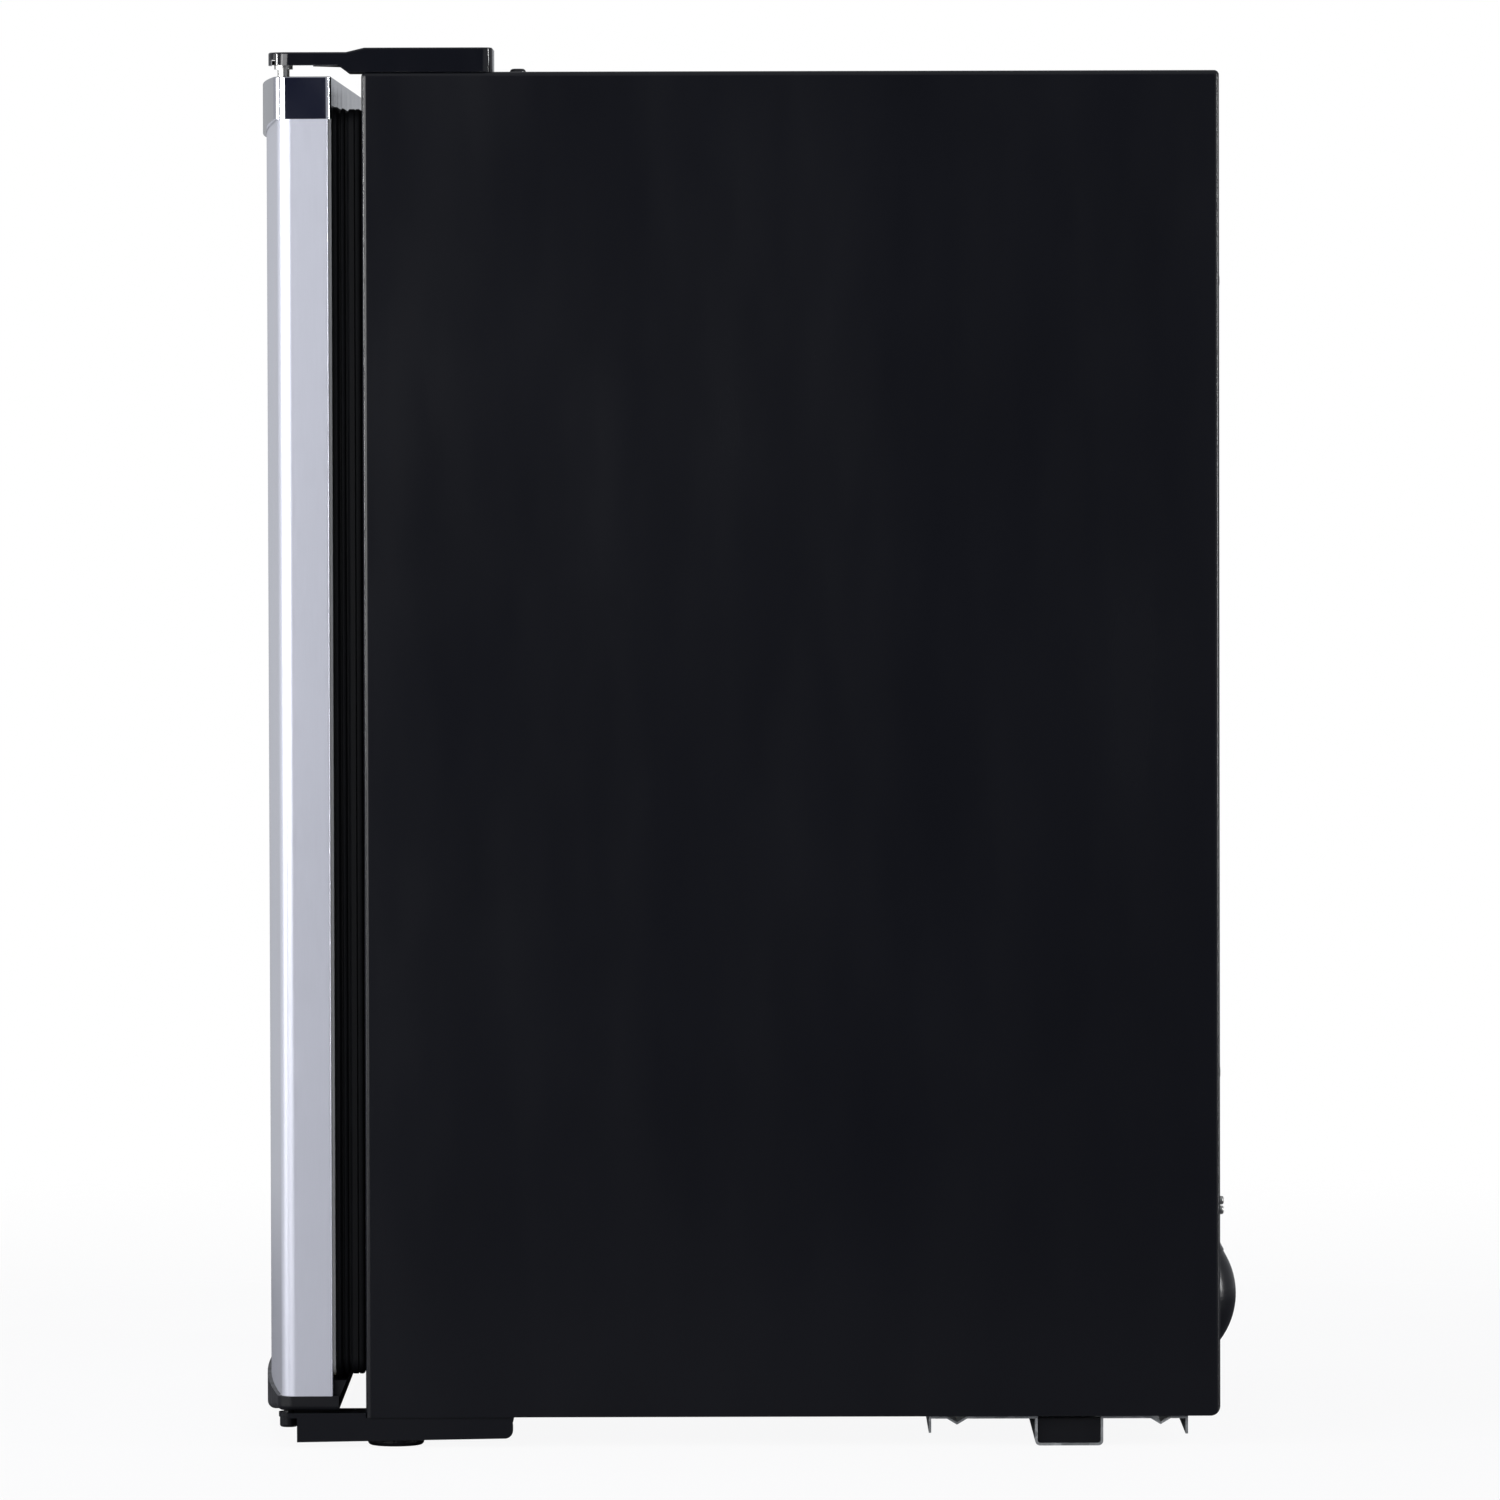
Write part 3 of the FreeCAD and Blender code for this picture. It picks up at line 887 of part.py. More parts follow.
def make_door_liner():
    """Vacuum-formed inner panel: a flat border for the gasket and a raised dyke round the racks."""
    x = GASKET_X - 1.5
    border = box(-x, x, DOOR_BACK + 0.05, DOOR_BACK + 1.55, GASKET_Z0 + 1.5, GASKET_Z1 - 1.5)
    border = rounded(border, 7.0, 1)
    border = border.cut(box(-DYKE_X + 1, DYKE_X - 1, -300, 0, DYKE_Z0 + 1, DYKE_Z1 - 1))
    raised = box(-DYKE_X, DYKE_X, DOOR_BACK + 0.05, DYKE_Y, DYKE_Z0, DYKE_Z1)
    raised = rounded(raised, 10.0, 1)
    recess = box(-DYKE_X + DYKE_W, DYKE_X - DYKE_W, PANEL_Y, DYKE_Y + 5, DYKE_Z0 + DYKE_W, DYKE_Z1 - DYKE_W)
    recess = rounded(recess, 8.0, 1)
    under_panel = box(-DYKE_X + 1.6, DYKE_X - 1.6, DOOR_BACK - 5, PANEL_Y - 1.6, DYKE_Z0 + 1.6, DYKE_Z1 - 1.6)
    under_panel = rounded(under_panel, 8.4, 1)
    ring_room = box(-DYKE_X + 1.6, DYKE_X - 1.6, PANEL_Y - 2, DYKE_Y - 1.6, DYKE_Z0 + 1.6, DYKE_Z1 - 1.6)
    ring_room = rounded(ring_room, 8.4, 1)
    core = box(-DYKE_X + DYKE_W - 1.6, DYKE_X - DYKE_W + 1.6, PANEL_Y - 3, DYKE_Y + 5,
               DYKE_Z0 + DYKE_W - 1.6, DYKE_Z1 - DYKE_W + 1.6)
    core = rounded(core, 9.6, 1)
    ring_room = ring_room.cut(core)
    liner = cut(raised, recess, under_panel, ring_room)
    save("door_liner", fuse(liner, border))


def make_door_foam():
    block = door_inner(DOOR_SKIN_Z0 + 0.2, DOOR_SKIN_Z1 - 0.2, SKIN_T + 0.2, back=DOOR_BACK - SKIN_T - 0.1)
    core = box(-DYKE_X + 2.0, DYKE_X - 2.0, DOOR_BACK - 2.0, PANEL_Y - 2.0, DYKE_Z0 + 2.0, DYKE_Z1 - 2.0)
    core = rounded(core, 8.0, 1)
    dyke = box(-DYKE_X + 2.0, DYKE_X - 2.0, DOOR_BACK - 2.0, DYKE_Y - 2.0, DYKE_Z0 + 2.0, DYKE_Z1 - 2.0)
    dyke = rounded(dyke, 8.0, 1)
    edge = DYKE_W - 2.0
    recess = box(-DYKE_X + edge, DYKE_X - edge, PANEL_Y - 5, DYKE_Y + 5, DYKE_Z0 + edge, DYKE_Z1 - edge)
    dyke = dyke.cut(rounded(recess, 10.0, 1))
    save("door_foam", fuse(block, core, dyke))


def gasket_frame(out0, out1, y0, y1):
    """Rectangular ring in the XZ plane: out0 and out1 are distances in from the gasket's outer edge."""
    outer = box(-GASKET_X + out0, GASKET_X - out0, y0, y1, GASKET_Z0 + out0, GASKET_Z1 - out0)
    outer = rounded(outer, 8.0, 1)
    inner = box(-GASKET_X + out1, GASKET_X - out1, y0 - 1, y1 + 1, GASKET_Z0 + out1, GASKET_Z1 - out1)
    return outer.cut(rounded(inner, 4.0, 1))


def make_gasket():
    """Magnetic seal: a flat base on the door, a narrower bellows and a wide magnet pocket at the face."""
    base = gasket_frame(0.0, GASKET_W, DOOR_BACK + 1.6, -246.4)
    edge = gasket_frame(0.0, 1.4, DOOR_BACK + 0.05, -246.4)
    bellows = gasket_frame(3.0, GASKET_W - 3.0, -246.6, -240.0)
    fold = gasket_frame(1.0, GASKET_W - 1.0, -243.8, -242.4)
    pocket = gasket_frame(2.0, GASKET_W - 1.0, -240.2, GASKET_BACK)
    magnet_room = gasket_frame(4.0, 13.0, -237.6, -233.2)
    save("door_gasket", fuse(base, edge, bellows, fold, pocket).cut(magnet_room))
    strips = gasket_frame(4.1, 12.9, -237.5, -233.3)
    gaps = [box(-300, 300, -300, 0, GASKET_Z0 + 14.0, GASKET_Z0 + 14.5),
            box(-300, 300, -300, 0, GASKET_Z1 - 14.5, GASKET_Z1 - 14.0)]
    save("gasket_magnets", cut(strips, *gaps))


RACKS = {"door_rack_bottom": (100.0, 80.0), "door_rack_middle": (318.0, 62.0), "door_rack_top": (500.0, 62.0)}
RACK_X = DYKE_X - DYKE_W - 1.0
RACK_Y0, RACK_Y1 = PANEL_Y + 0.3, -158.0


def make_racks():
    """Moulded door bins: a floor, a low bowed front wall and end walls, with a rim all round."""
    for name, (z, height) in RACKS.items():
        depth = RACK_Y1 if name == "door_rack_bottom" else RACK_Y1 - 14.0
        outer = box(-RACK_X, RACK_X, RACK_Y0, depth, z, z + height)
        outer = rounded(outer, 14.0, 2, lambda p: p.y > depth - 1)
        room = box(-RACK_X + 2.4, RACK_X - 2.4, RACK_Y0 + 2.4, depth - 2.4, z + 2.4, z + height + 5)
        room = rounded(room, 11.6, 2, lambda p: p.y > depth - 5)
        rim = rounded(box(-RACK_X, RACK_X, RACK_Y0, depth + 1.6, z + height - 4, z + height), 15.0, 2,
                      lambda p: p.y > depth)
        save(name, fuse(outer, rim).cut(room))


# ---------------------------------------------------------------- build
def build():
    make_outer_wrapper()
    make_front_rail()
    make_base_pan()
    make_compartment_panel()
    make_back_panel()
    make_liner()
    make_foam()
    make_condenser()
    make_rear_screws()
    make_plugs()
    make_top_hinge()
    make_hinge_cover()
    make_bottom_hinge()
    make_left_foot_plate()
    make_foot("levelling_foot_right", FOOT_X)
    make_foot("levelling_foot_left", -FOOT_X)
    make_compressor_plate()
    make_compressor()
    make_terminal_cover()
    make_refrigerant_parts()
    make_pan()
    make_shelves()
    make_crisper()
    make_evaporator()
    make_freezer_front()
    make_drip_tray()
    make_thermostat()
    make_door_skin()
    make_door_top_cap()
    make_door_bottom_cap()
    make_door_bushes()
    make_door_liner()
    make_door_foam()
    make_gasket()
    make_racks()


build()
print(len(NODES), "nodes")
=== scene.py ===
"""Looks of the compact refrigerator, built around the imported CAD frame. Metres, +Z up, door towards -Y."""

import json
import math

import bmesh
import bpy
from mathutils import Matrix, Vector


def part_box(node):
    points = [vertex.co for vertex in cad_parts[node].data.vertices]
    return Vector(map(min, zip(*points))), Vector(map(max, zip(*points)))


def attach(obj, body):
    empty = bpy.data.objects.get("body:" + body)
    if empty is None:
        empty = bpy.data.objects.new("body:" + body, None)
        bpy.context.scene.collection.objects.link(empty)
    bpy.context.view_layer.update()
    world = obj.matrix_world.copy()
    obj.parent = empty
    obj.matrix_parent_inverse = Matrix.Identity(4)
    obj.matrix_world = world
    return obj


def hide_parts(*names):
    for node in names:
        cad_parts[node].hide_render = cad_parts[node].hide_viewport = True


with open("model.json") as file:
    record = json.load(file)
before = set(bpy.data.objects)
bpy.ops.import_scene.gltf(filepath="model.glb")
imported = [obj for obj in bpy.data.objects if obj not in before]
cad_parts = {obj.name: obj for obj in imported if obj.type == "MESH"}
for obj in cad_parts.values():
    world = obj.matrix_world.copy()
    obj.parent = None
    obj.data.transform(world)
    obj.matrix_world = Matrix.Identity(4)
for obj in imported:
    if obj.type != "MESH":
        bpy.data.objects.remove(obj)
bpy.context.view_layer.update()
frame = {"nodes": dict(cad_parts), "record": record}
NODES = frame["nodes"]
MM = 0.001
MERGE_WITHIN = 1e-6                  # vertices closer than this are one
NOISE_ROUGHNESS = 0.55


# ---------------------------------------------------------------- node helpers
class Shader:
    """A Principled material whose colour, roughness and bump come from object-space patterns."""

    def __init__(self, name, **constants):
        self.material = bpy.data.materials.new(name)
        self.material.use_nodes = True
        self.tree = self.material.node_tree
        self.bsdf = self.tree.nodes["Principled BSDF"]
        for socket, value in constants.items():
            self.bsdf.inputs[socket.replace("_", " ")].default_value = value
        self.place = self.node("ShaderNodeTexCoord").outputs["Object"]
        self.bump_out = None

    def node(self, kind, **settings):
        made = self.tree.nodes.new(kind)
        for key, value in settings.items():
            setattr(made, key, value)
        return made

    def link(self, a, b):
        self.tree.links.new(a, b)

    def stretched(self, scale):
        mapping = self.node("ShaderNodeMapping")
        mapping.inputs["Scale"].default_value = scale
        self.link(self.place, mapping.inputs["Vector"])
        return mapping.outputs["Vector"]

    def noise(self, scale, detail=3.0, stretch=None):
        made = self.node("ShaderNodeTexNoise")
        made.inputs["Scale"].default_value = scale
        made.inputs["Detail"].default_value = detail
        made.inputs["Roughness"].default_value = NOISE_ROUGHNESS
        self.link(self.stretched(stretch) if stretch else self.place, made.inputs["Vector"])
        return made.outputs["Fac"]

    def cells(self, scale, output="Color"):
        made = self.node("ShaderNodeTexVoronoi")
        made.inputs["Scale"].default_value = scale
        self.link(self.place, made.inputs["Vector"])
        return made.outputs[output]

    def ramp(self, fac, stops):
        made = self.node("ShaderNodeValToRGB")
        elements = made.color_ramp.elements
        while len(elements) < len(stops):
            elements.new(0.5)
        for element, (at, colour) in zip(elements, stops):
            element.position = at
            element.color = (*colour, 1.0)
        self.link(fac, made.inputs["Fac"])
        return made.outputs["Color"]

    def spread(self, fac, low, high, start=0.3, end=0.7):
        made = self.node("ShaderNodeMapRange")
        for socket, value in (("From Min", start), ("From Max", end), ("To Min", low), ("To Max", high)):
            made.inputs[socket].default_value = value
        self.link(fac, made.inputs["Value"])
        return made.outputs["Result"]

    def blend(self, fac, a, b):
        """Mixes two colours, each a plain colour or the output of another node."""
        made = self.node("ShaderNodeMix", data_type="RGBA")
        for socket, value in ((made.inputs[0], fac), (made.inputs[6], a), (made.inputs[7], b)):
            if isinstance(value, tuple):
                socket.default_value = (*value, 1.0)
            else:
                self.link(value, socket)
        return made.outputs[2]

    def colour(self, value):
        self.link(value, self.bsdf.inputs["Base Color"])

    def rough(self, value):
        self.link(value, self.bsdf.inputs["Roughness"])

    def bump(self, height, distance):
        made = self.node("ShaderNodeBump")
        made.inputs["Strength"].default_value = 1.0
        made.inputs["Distance"].default_value = distance
        self.link(height, made.inputs["Height"])
        if self.bump_out:
            self.link(self.bump_out, made.inputs["Normal"])
        self.bump_out = made.outputs["Normal"]
        self.link(self.bump_out, self.bsdf.inputs["Normal"])


def shade(colour, factor):
    return tuple(min(1.0, c * factor) for c in colour)


def painted(name, colour, rough, peel=0.00002, speck=0.10, **constants):
    """Sprayed enamel: orange peel a millimetre or two across, faint clouding, dust specks, wiped streaks."""
    s = Shader(name, **constants)
    cloud = s.noise(7.0, 4.0)
    base = s.ramp(cloud, [(0.30, shade(colour, 0.93)), (0.70, shade(colour, 1.07))])
    dust = s.spread(s.noise(900.0, 2.0), 0.0, speck, 0.66, 0.80)
    s.colour(s.blend(dust, base, shade(colour, 3.0)))
    wipe = s.noise(16.0, 3.0, stretch=(1.0, 1.0, 0.22))
    s.rough(s.spread(wipe, rough - 0.04, rough + 0.05))
    s.bump(s.noise(520.0, 2.0), peel)
    return s.material


def metallic_paint(name, colour, rough):
    """Silver coated steel: flakes under a satin coat, a faint upright grain and soft clouding."""
    s = Shader(name, Metallic=0.40, Coat_Weight=0.50, Coat_Roughness=0.12)
    grain = s.noise(1500.0, 2.0, stretch=(1.0, 1.0, 0.03))
    flake = s.cells(4200.0, "Distance")
    cloud = s.noise(5.0, 3.0)
    base = s.ramp(cloud, [(0.30, shade(colour, 0.97)), (0.70, shade(colour, 1.03))])
    base = s.blend(s.spread(grain, 0.0, 0.10), base, shade(colour, 1.22))
    s.colour(s.blend(s.spread(flake, 0.10, 0.0, 0.0, 0.45), base, shade(colour, 0.72)))
    s.rough(s.spread(grain, rough - 0.03, rough + 0.04))
    s.bump(grain, 0.000012)
    s.bump(s.noise(420.0, 2.0), 0.00001)
    return s.material


def bright_plate(name, colour, rough):
    """Plated plastic: a mirror skin with wiped haze and the slight waves of a moulding."""
    s = Shader(name, Metallic=1.0)
    haze = s.noise(30.0, 4.0, stretch=(1.0, 1.0, 0.5))
    s.colour(s.ramp(haze, [(0.30, shade(colour, 0.95)), (0.70, shade(colour, 1.04))]))
    s.rough(s.spread(haze, rough, rough + 0.07))
    s.bump(s.noise(90.0, 2.0), 0.00002)
    return s.material


def moulded(name, colour, rough, grain=1600.0, depth=0.00002, variation=0.06, **constants):
    """Moulded plastic: fine spark-eroded grain, flow clouding and handling marks."""
    s = Shader(name, **constants)
    flow = s.noise(12.0, 3.0)
    s.colour(s.ramp(flow, [(0.30, shade(colour, 1.0 - variation)), (0.70, shade(colour, 1.0 + variation))]))
    s.rough(s.spread(s.noise(45.0, 4.0), rough - 0.05, rough + 0.07))
    s.bump(s.noise(grain, 2.0), depth)
    return s.material


def rubber(name, colour):
    s = Shader(name, Specular_IOR_Level=0.16)
    bloom = s.noise(60.0, 4.0)
    s.colour(s.ramp(bloom, [(0.35, colour), (0.75, shade(colour, 1.6))]))
    s.rough(s.spread(bloom, 0.52, 0.68))
    s.bump(s.noise(1400.0, 2.0), 0.00003)
    return s.material


def galvanised(name):
    """Hot-dip zinc: crystal spangle, each grain with its own tone and sheen, and a few dull drips."""
    s = Shader(name, Metallic=0.85)
    cell = s.cells(120.0)
    tone = s.ramp(cell, [(0.15, (0.40, 0.42, 0.43)), (0.50, (0.52, 0.54, 0.55)), (0.85, (0.64, 0.66, 0.67))])
    dull = s.spread(s.noise(22.0, 5.0), 0.0, 0.5, 0.52, 0.72)
    s.colour(s.blend(dull, tone, (0.50, 0.50, 0.49)))
    s.rough(s.spread(s.noise(160.0, 2.0), 0.30, 0.50))
    s.bump(s.cells(120.0, "Distance"), 0.00004)
    return s.material


def plated_steel(name, colour=(0.60, 0.60, 0.58)):
    s = Shader(name, Metallic=1.0)
    stain = s.noise(110.0, 4.0)
    s.colour(s.ramp(stain, [(0.30, shade(colour, 0.78)), (0.70, shade(colour, 1.08))]))
    s.rough(s.spread(stain, 0.24, 0.40))
    s.bump(s.noise(900.0, 2.0), 0.00002)
    return s.material


def copper(name):
    s = Shader(name, Metallic=1.0)
    tarnish = s.noise(70.0, 5.0)
    s.colour(s.ramp(tarnish, [(0.30, (0.30, 0.13, 0.07)), (0.55, (0.62, 0.29, 0.17)),
                              (0.80, (0.78, 0.42, 0.27))]))
    s.rough(s.spread(tarnish, 0.42, 0.24))
    s.bump(s.noise(700.0, 2.0), 0.00002)
    return s.material


def rolled_aluminium(name):
    s = Shader(name, Metallic=1.0)
    grain = s.noise(900.0, 3.0, stretch=(1.0, 0.03, 1.0))
    s.colour(s.ramp(grain, [(0.30, (0.66, 0.68, 0.70)), (0.70, (0.80, 0.82, 0.84))]))
    s.rough(s.spread(grain, 0.30, 0.44))
    s.bump(grain, 0.00001)
    return s.material


def clear(name, tint, rough, weight):
    """Glass or clear moulding: faint smears and, for the plastic, fine flow lines."""
    s = Shader(name, Transmission_Weight=weight, IOR=1.49)
    smear = s.noise(26.0, 4.0, stretch=(1.0, 1.0, 0.4))
    s.colour(s.ramp(smear, [(0.35, tint), (0.75, shade(tint, 0.95))]))
    s.rough(s.spread(smear, rough, rough + 0.06))
    s.bump(s.noise(180.0, 2.0), 0.00001)
    return s.material


def rigid_foam(name):
    s = Shader(name)
    cell = s.cells(420.0, "Distance")
    s.colour(s.ramp(cell, [(0.1, (0.66, 0.55, 0.28)), (0.6, (0.82, 0.73, 0.46))]))
    s.rough(s.spread(s.noise(90.0, 3.0), 0.80, 0.95))
    s.bump(cell, 0.0002)
    return s.material


MATERIALS = {
    "black_steel": painted("black_enamel", (0.0056, 0.0060, 0.0082), 0.23, Specular_IOR_Level=0.38),
    "silver_steel": metallic_paint("silver_coat", (0.575, 0.588, 0.665), 0.36),
    "bright_cap": bright_plate("bright_plating", (0.74, 0.75, 0.80), 0.06),
    "black_plastic": moulded("black_moulding", (0.0050, 0.0053, 0.0072), 0.36, Specular_IOR_Level=0.30),
    "gloss_black": moulded("gloss_black_moulding", (0.006, 0.0065, 0.009), 0.09, grain=300.0, depth=0.000008),
    "white_plastic": moulded("white_moulding", (0.62, 0.63, 0.64), 0.36, variation=0.02),
    "grey_plastic": moulded("grey_moulding", (0.055, 0.058, 0.062), 0.48),
    "clear_plastic": clear("clear_moulding", (0.90, 0.94, 0.96), 0.10, 0.86),
    "glass": clear("shelf_glass", (0.86, 0.95, 0.92), 0.02, 1.0),
    "rubber": rubber("black_rubber", (0.0026, 0.0028, 0.0036)),
    "galvanised": galvanised("zinc_spangle"),
    "zinc": plated_steel("plated_steel"),
    "copper": copper("tarnished_copper"),
    "aluminium": rolled_aluminium("rolled_aluminium"),
    "foam": rigid_foam("insulating_foam"),
}

SLOT_OF = {part["node"]: part["material_slot"] for part in frame["record"]["subparts"]}


def dress(obj, slot_name):
    obj.data.materials.clear()
    obj.data.materials.append(MATERIALS[slot_name])


SHARP_ABOVE = math.radians(26.0)     # edges folded more than this stay crisp; curved faces shade smoothly


def shade_smoothly(obj):
    """Joins the mesh's facets for shading, so that bends and rounded edges catch light as they should."""
    obj.data.polygons.foreach_set("use_smooth", [True] * len(obj.data.polygons))
    joined = obj.modifiers.new("join_facets", "WELD")
    joined.merge_threshold = MERGE_WITHIN
    creased = obj.modifiers.new("keep_creases", "EDGE_SPLIT")
    creased.split_angle = SHARP_ABOVE
    weighted = obj.modifiers.new("flat_faces_stay_flat", "WEIGHTED_NORMAL")
    weighted.mode = "FACE_AREA"
    weighted.keep_sharp = True


for node_name, node_object in NODES.items():
    dress(node_object, SLOT_OF[node_name])
    shade_smoothly(node_object)


# ---------------------------------------------------------------- detailed pieces
SMOOTH_BELOW = math.radians(38.0)    # a drawn piece shades smoothly across edges folded less than this


def finish_piece(name, bm, slot_name, body, stands_for=()):
    """Turns a bmesh into a dressed piece that rides on its body and hides the CAD nodes it stands for."""
    bmesh.ops.recalc_face_normals(bm, faces=bm.faces)
    mesh = bpy.data.meshes.new(name)
    bm.to_mesh(mesh)
    bm.free()
    mesh.polygons.foreach_set("use_smooth", [True] * len(mesh.polygons))
    mesh.set_sharp_from_angle(angle=SMOOTH_BELOW)
    piece = bpy.data.objects.new(name, mesh)
    bpy.context.scene.collection.objects.link(piece)
    dress(piece, slot_name)
    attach(piece, body)
    if stands_for:
        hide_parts(*stands_for)
    return piece


def loft(bm, loops):
    """Skins a closed ring of equal closed loops, given as lists of points in metres."""
    rows = [[bm.verts.new(point) for point in loop] for loop in loops]
    count = len(rows[0])
    for i, here in enumerate(rows):
        following = rows[(i + 1) % len(rows)]
        for k in range(count):
            nearby = (k + 1) % count
            bm.faces.new((here[k], here[nearby], following[nearby], following[k]))


GASKET_WIDTH = 16.0          # millimetres across the seal
GASKET_DEPTH = 19.15         # millimetres of depth that the section below is drawn for
GASKET_CORNER = 12.0         # the corners turn about points this far in from the outer edge
CORNER_FACETS = 8            # facets round each corner
GASKET_FACE = (              # half of the seal's section: in from its edge, and back from its face
    (3.2, 0.0), (2.2, 0.5), (1.7, 1.4), (1.7, 3.2), (2.5, 3.7), (1.7, 4.2), (1.7, 7.0), (2.6, 7.9),
    (3.5, 8.4), (3.5, 9.4), (1.6, 10.1), (1.1, 11.0), (1.6, 11.9), (3.5, 12.4), (3.5, 13.4), (1.2, 14.0),
    (0.4, 14.6), (0.4, 16.6), (1.4, 17.4))


def build_gasket():
    """Black magnetic seal: a soft pocket at the face, a bellows with a fold, and a lipped base."""
    low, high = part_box("door_gasket")
    stretch = (high.y - low.y) / MM / GASKET_DEPTH
    half = [(u, back * stretch) for u, back in GASKET_FACE]
    section = half + [(GASKET_WIDTH - u, back) for u, back in reversed(half)]
    corners = [(high.x, high.z, 1, 1), (low.x, high.z, -1, 1), (low.x, low.z, -1, -1), (high.x, low.z, 1, -1)]
    loops = []
    for k, (x, z, sx, sz) in enumerate(corners):
        centre_x, centre_z = x - sx * GASKET_CORNER * MM, z - sz * GASKET_CORNER * MM
        for step in range(CORNER_FACETS + 1):
            angle = math.radians((k + step / CORNER_FACETS) * 90.0)
            reach_x, reach_z = math.cos(angle), math.sin(angle)
            loop = []
            for u, back in section:
                radius = (GASKET_CORNER - u) * MM
                way_x, way_z = (sx, sz) if radius < 0.0 else (reach_x, reach_z)
                loop.append((centre_x + way_x * radius, high.y - back * MM, centre_z + way_z * radius))
            loops.append(loop)
    bm = bmesh.new()
    loft(bm, loops)
    bmesh.ops.remove_doubles(bm, verts=bm.verts, dist=MERGE_WITHIN)
    return finish_piece("magnetic_seal", bm, "rubber", "door", ("door_gasket",))


LAP = 0.0008                 # how far the lower shell's lap stands out
DRUM_END = 0.0243            # rounding of the compressor's ends, at the lap
WELD_RISE = 0.033            # height of the weld over the compressor's centre
WELD_RADIUS = 0.0012
WELD_SUNK = 0.0004           # how far the bead's centre lies under the top of the lap
WELD_SIDES = 10              # facets round the bead
STRAIGHT_STEPS, BEND_STEPS = 24, 16


def weld_loops(path):
    """Circles round a closed path that lies level, as loops for the loft."""
    loops = []
    for k, point in enumerate(path):
        ahead = (path[(k + 1) % len(path)] - path[k - 1]).normalized()
        out = Vector((ahead.y, -ahead.x, 0.0))
        turns = [2 * math.pi * n / WELD_SIDES for n in range(WELD_SIDES)]
        loops.append([point + out * math.cos(a) * WELD_RADIUS + Vector((0, 0, math.sin(a) * WELD_RADIUS))
                      for a in turns])
    return loops


def build_weld_bead():
    """The weld that joins the compressor's two shells, on top of the lap."""
    low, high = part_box("compressor_lower_shell")
    middle_x, middle_y = (low.x + high.x) / 2, (low.y + high.y) / 2
    radius = (high.y - low.y) / 2 + LAP
    straight = (high.x - low.x) / 2 + LAP - DRUM_END
    last_bend = math.acos((WELD_RISE - radius + DRUM_END) / DRUM_END)
    width_there = math.sqrt(radius ** 2 - WELD_RISE ** 2)
    quarter = [(straight * n / STRAIGHT_STEPS, width_there) for n in range(STRAIGHT_STEPS)]
    for n in range(BEND_STEPS + 1):
        bend = last_bend * n / BEND_STEPS
        around = radius - DRUM_END + DRUM_END * math.cos(bend)
        width = math.sqrt(max(around ** 2 - WELD_RISE ** 2, 0.0))
        quarter.append((straight + DRUM_END * math.sin(bend), width))
    outline = quarter + [(x, -y) for x, y in reversed(quarter[:-1])]
    outline += [(-x, -y) for x, y in quarter[1:]] + [(-x, y) for x, y in reversed(quarter[1:-1])]
    path = [Vector((middle_x + x, middle_y + y, high.z - WELD_SUNK)) for x, y in outline]
    bm = bmesh.new()
    loft(bm, weld_loops(path))
    return finish_piece("compressor_weld", bm, "black_steel", "cabinet")


build_gasket()
build_weld_bead()


# ---------------------------------------------------------------- stage, lights and camera
FLOOR_NEAR, FLOOR_FAR = 0.9, 2.0        # the floor fades into the backdrop between these radii
FLOOR_EDGE = 0.1                        # spare floor past the fade
FLOOR_BOUNCE = (0.10, 0.10, 0.11)       # what the floor gives back to the object, as a dark floor would
FLOOR_LIFT = 0.95                       # how much of the floor is lit from within, which keeps shadows faint
FLOOR_GLOW = (0.97, 0.97, 0.975)
BACKDROP = (1.0, 1.0, 1.0)
ROOM = (0.36, 0.37, 0.39)               # what reflections see of the room
DARK_SIDE = (0.008, 0.010, 0.024)       # and of its dark +X side
DARK_FROM, DARK_TO = 0.86, 0.985        # the room darkens over this range of the direction's X


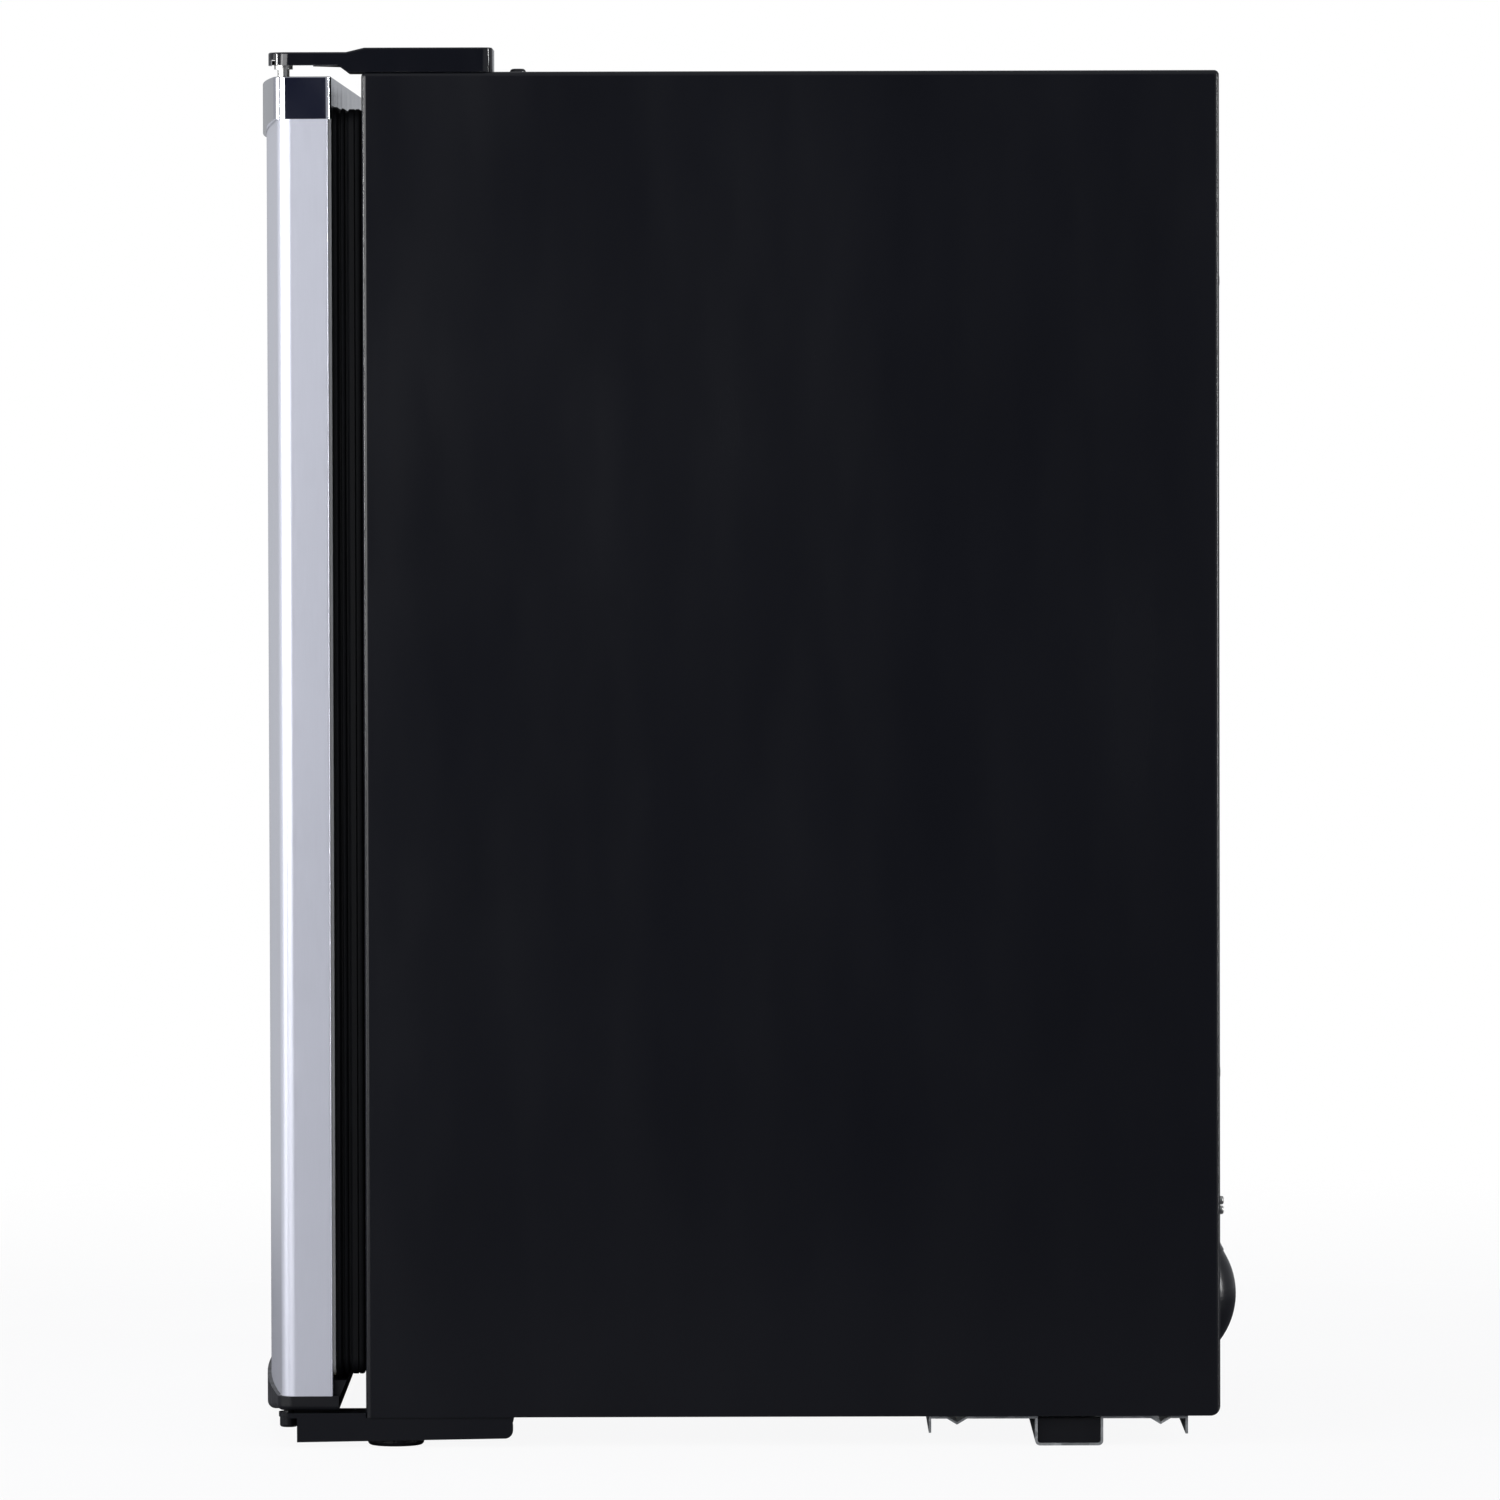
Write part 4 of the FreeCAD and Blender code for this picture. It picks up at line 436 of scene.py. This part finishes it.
def build_floor():
    mesh = bpy.data.meshes.new("studio_floor")
    bm = bmesh.new()
    bmesh.ops.create_circle(bm, cap_ends=True, segments=96, radius=FLOOR_FAR + FLOOR_EDGE)
    bm.to_mesh(mesh)
    bm.free()
    floor = bpy.data.objects.new("studio_floor", mesh)
    bpy.context.scene.collection.objects.link(floor)
    s = Shader("pale_floor", Specular_IOR_Level=0.1)
    pale = s.ramp(s.noise(3.0, 4.0), [(0.3, (0.86, 0.86, 0.87)), (0.7, (0.90, 0.90, 0.91))])
    seen = s.node("ShaderNodeLightPath").outputs["Is Camera Ray"]
    s.colour(s.blend(seen, FLOOR_BOUNCE, pale))
    s.rough(s.spread(s.noise(200.0, 2.0), 0.75, 0.9))
    length = s.node("ShaderNodeVectorMath", operation="LENGTH")
    s.link(s.place, length.inputs[0])
    fade = s.spread(length.outputs["Value"], 0.0, 1.0, FLOOR_NEAR, FLOOR_FAR)
    glow = s.node("ShaderNodeEmission")
    glow.inputs["Color"].default_value = (*FLOOR_GLOW, 1.0)
    lift = s.node("ShaderNodeMath", operation="MULTIPLY")
    lift.inputs[1].default_value = FLOOR_LIFT
    s.link(seen, lift.inputs[0])
    lifted = s.node("ShaderNodeMixShader")
    s.link(lift.outputs["Value"], lifted.inputs["Fac"])
    s.link(s.bsdf.outputs["BSDF"], lifted.inputs[1])
    s.link(glow.outputs["Emission"], lifted.inputs[2])
    clear_end = s.node("ShaderNodeBsdfTransparent")
    mix = s.node("ShaderNodeMixShader")
    s.link(fade, mix.inputs["Fac"])
    s.link(lifted.outputs["Shader"], mix.inputs[1])
    s.link(clear_end.outputs["BSDF"], mix.inputs[2])
    s.link(mix.outputs["Shader"], s.tree.nodes["Material Output"].inputs["Surface"])
    floor.data.materials.append(s.material)


def area_light(name, place, target, size, power, in_gloss=True):
    """A rectangular studio light. Those left out of gloss light the object without showing as reflections."""
    data = bpy.data.lights.new(name, "AREA")
    data.shape = "RECTANGLE"
    data.size, data.size_y = size
    data.energy = power
    light = bpy.data.objects.new(name, data)
    light.location = place
    light.rotation_euler = (Vector(target) - Vector(place)).to_track_quat("-Z", "Y").to_euler()
    light.visible_camera = False
    light.visible_glossy = in_gloss
    bpy.context.scene.collection.objects.link(light)


def build_lights():
    middle = (0.0, 0.0, 0.42)
    area_light("key_softbox", (2.3, -1.5, 0.85), (0.2, -0.1, 0.20), (1.5, 1.3), 30.0)
    area_light("fill_softbox", (2.4, 1.9, 1.2), (0.2, 0.1, 0.35), (1.4, 1.4), 18.0, in_gloss=False)
    area_light("front_softbox", (0.6, -3.0, 0.8), middle, (1.6, 2.0), 16.0)
    area_light("top_softbox", (0.0, -0.6, 3.4), middle, (2.8, 2.0), 22.0, in_gloss=False)
    area_light("back_softbox", (-2.8, 0.4, 1.5), middle, (2.2, 2.0), 18.0, in_gloss=False)
    area_light("rear_strip", (0.9, 3.0, 0.9), middle, (0.10, 1.8), 44.0)
    area_light("front_strip", (0.95, -2.5, 0.90), (0.26, -0.23, 0.70), (0.10, 0.95), 26.0)
    area_light("corner_strip", (2.3, -2.05, 1.0), (0.26, -0.28, 0.50), (0.20, 1.6), 8.0)


def build_world():
    """Pale backdrop. Reflections see a soft room that is dark on the side the camera stands on."""
    world = bpy.data.worlds.new("studio_world")
    world.use_nodes = True
    bpy.context.scene.world = world
    tree = world.node_tree
    out = tree.nodes["World Output"]
    room = tree.nodes["Background"]
    backdrop = tree.nodes.new("ShaderNodeBackground")
    backdrop.inputs["Color"].default_value = (*BACKDROP, 1.0)
    coords = tree.nodes.new("ShaderNodeTexCoord")
    axes = tree.nodes.new("ShaderNodeSeparateXYZ")
    tree.links.new(coords.outputs["Generated"], axes.inputs["Vector"])
    side = tree.nodes.new("ShaderNodeMapRange")
    side.interpolation_type = "SMOOTHSTEP"
    for socket, value in (("From Min", DARK_FROM), ("From Max", DARK_TO), ("To Min", 0.0), ("To Max", 1.0)):
        side.inputs[socket].default_value = value
    tree.links.new(axes.outputs["X"], side.inputs["Value"])
    walls = tree.nodes.new("ShaderNodeMix")
    walls.data_type = "RGBA"
    tree.links.new(side.outputs["Result"], walls.inputs[0])
    walls.inputs[6].default_value = (*ROOM, 1.0)
    walls.inputs[7].default_value = (*DARK_SIDE, 1.0)
    tree.links.new(walls.outputs[2], room.inputs["Color"])
    path = tree.nodes.new("ShaderNodeLightPath")
    mix = tree.nodes.new("ShaderNodeMixShader")
    tree.links.new(path.outputs["Is Camera Ray"], mix.inputs["Fac"])
    tree.links.new(room.outputs["Background"], mix.inputs[1])
    tree.links.new(backdrop.outputs["Background"], mix.inputs[2])
    tree.links.new(mix.outputs["Shader"], out.inputs["Surface"])


CAMERA_GAP = 6.70                 # from the near side of the cabinet to the camera
CAMERA_TILT = math.radians(1.98)  # looking down
CAMERA_ROLL = math.radians(-0.145)
AIM_Y, AIM_Z = 0.0005, 0.4192
FRAME_WIDTH = 0.900               # what the picture takes in across, at the near side
SENSOR_WIDTH = 36.0
CLIP_END = 60.0


def build_camera():
    near_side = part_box("outer_wrapper")[1].x
    ahead = Vector((-math.cos(CAMERA_TILT), 0.0, -math.sin(CAMERA_TILT)))
    up = Vector((-math.sin(CAMERA_TILT), 0.0, math.cos(CAMERA_TILT)))
    right = Vector((0.0, 1.0, 0.0))
    turned_right = right * math.cos(CAMERA_ROLL) + up * math.sin(CAMERA_ROLL)
    turned_up = up * math.cos(CAMERA_ROLL) - right * math.sin(CAMERA_ROLL)
    data = bpy.data.cameras.new("camera")
    data.sensor_width = SENSOR_WIDTH
    data.lens = SENSOR_WIDTH * CAMERA_GAP / FRAME_WIDTH
    data.clip_end = CLIP_END
    camera = bpy.data.objects.new("camera", data)
    rotation = Matrix((turned_right, turned_up, -ahead)).transposed().to_4x4()
    stand = Vector((near_side, AIM_Y, AIM_Z)) - ahead * CAMERA_GAP
    camera.matrix_world = Matrix.Translation(stand) @ rotation
    bpy.context.scene.collection.objects.link(camera)
    bpy.context.scene.camera = camera


build_floor()
build_lights()
build_world()
build_camera()
bpy.context.scene.view_settings.view_transform = "Standard"
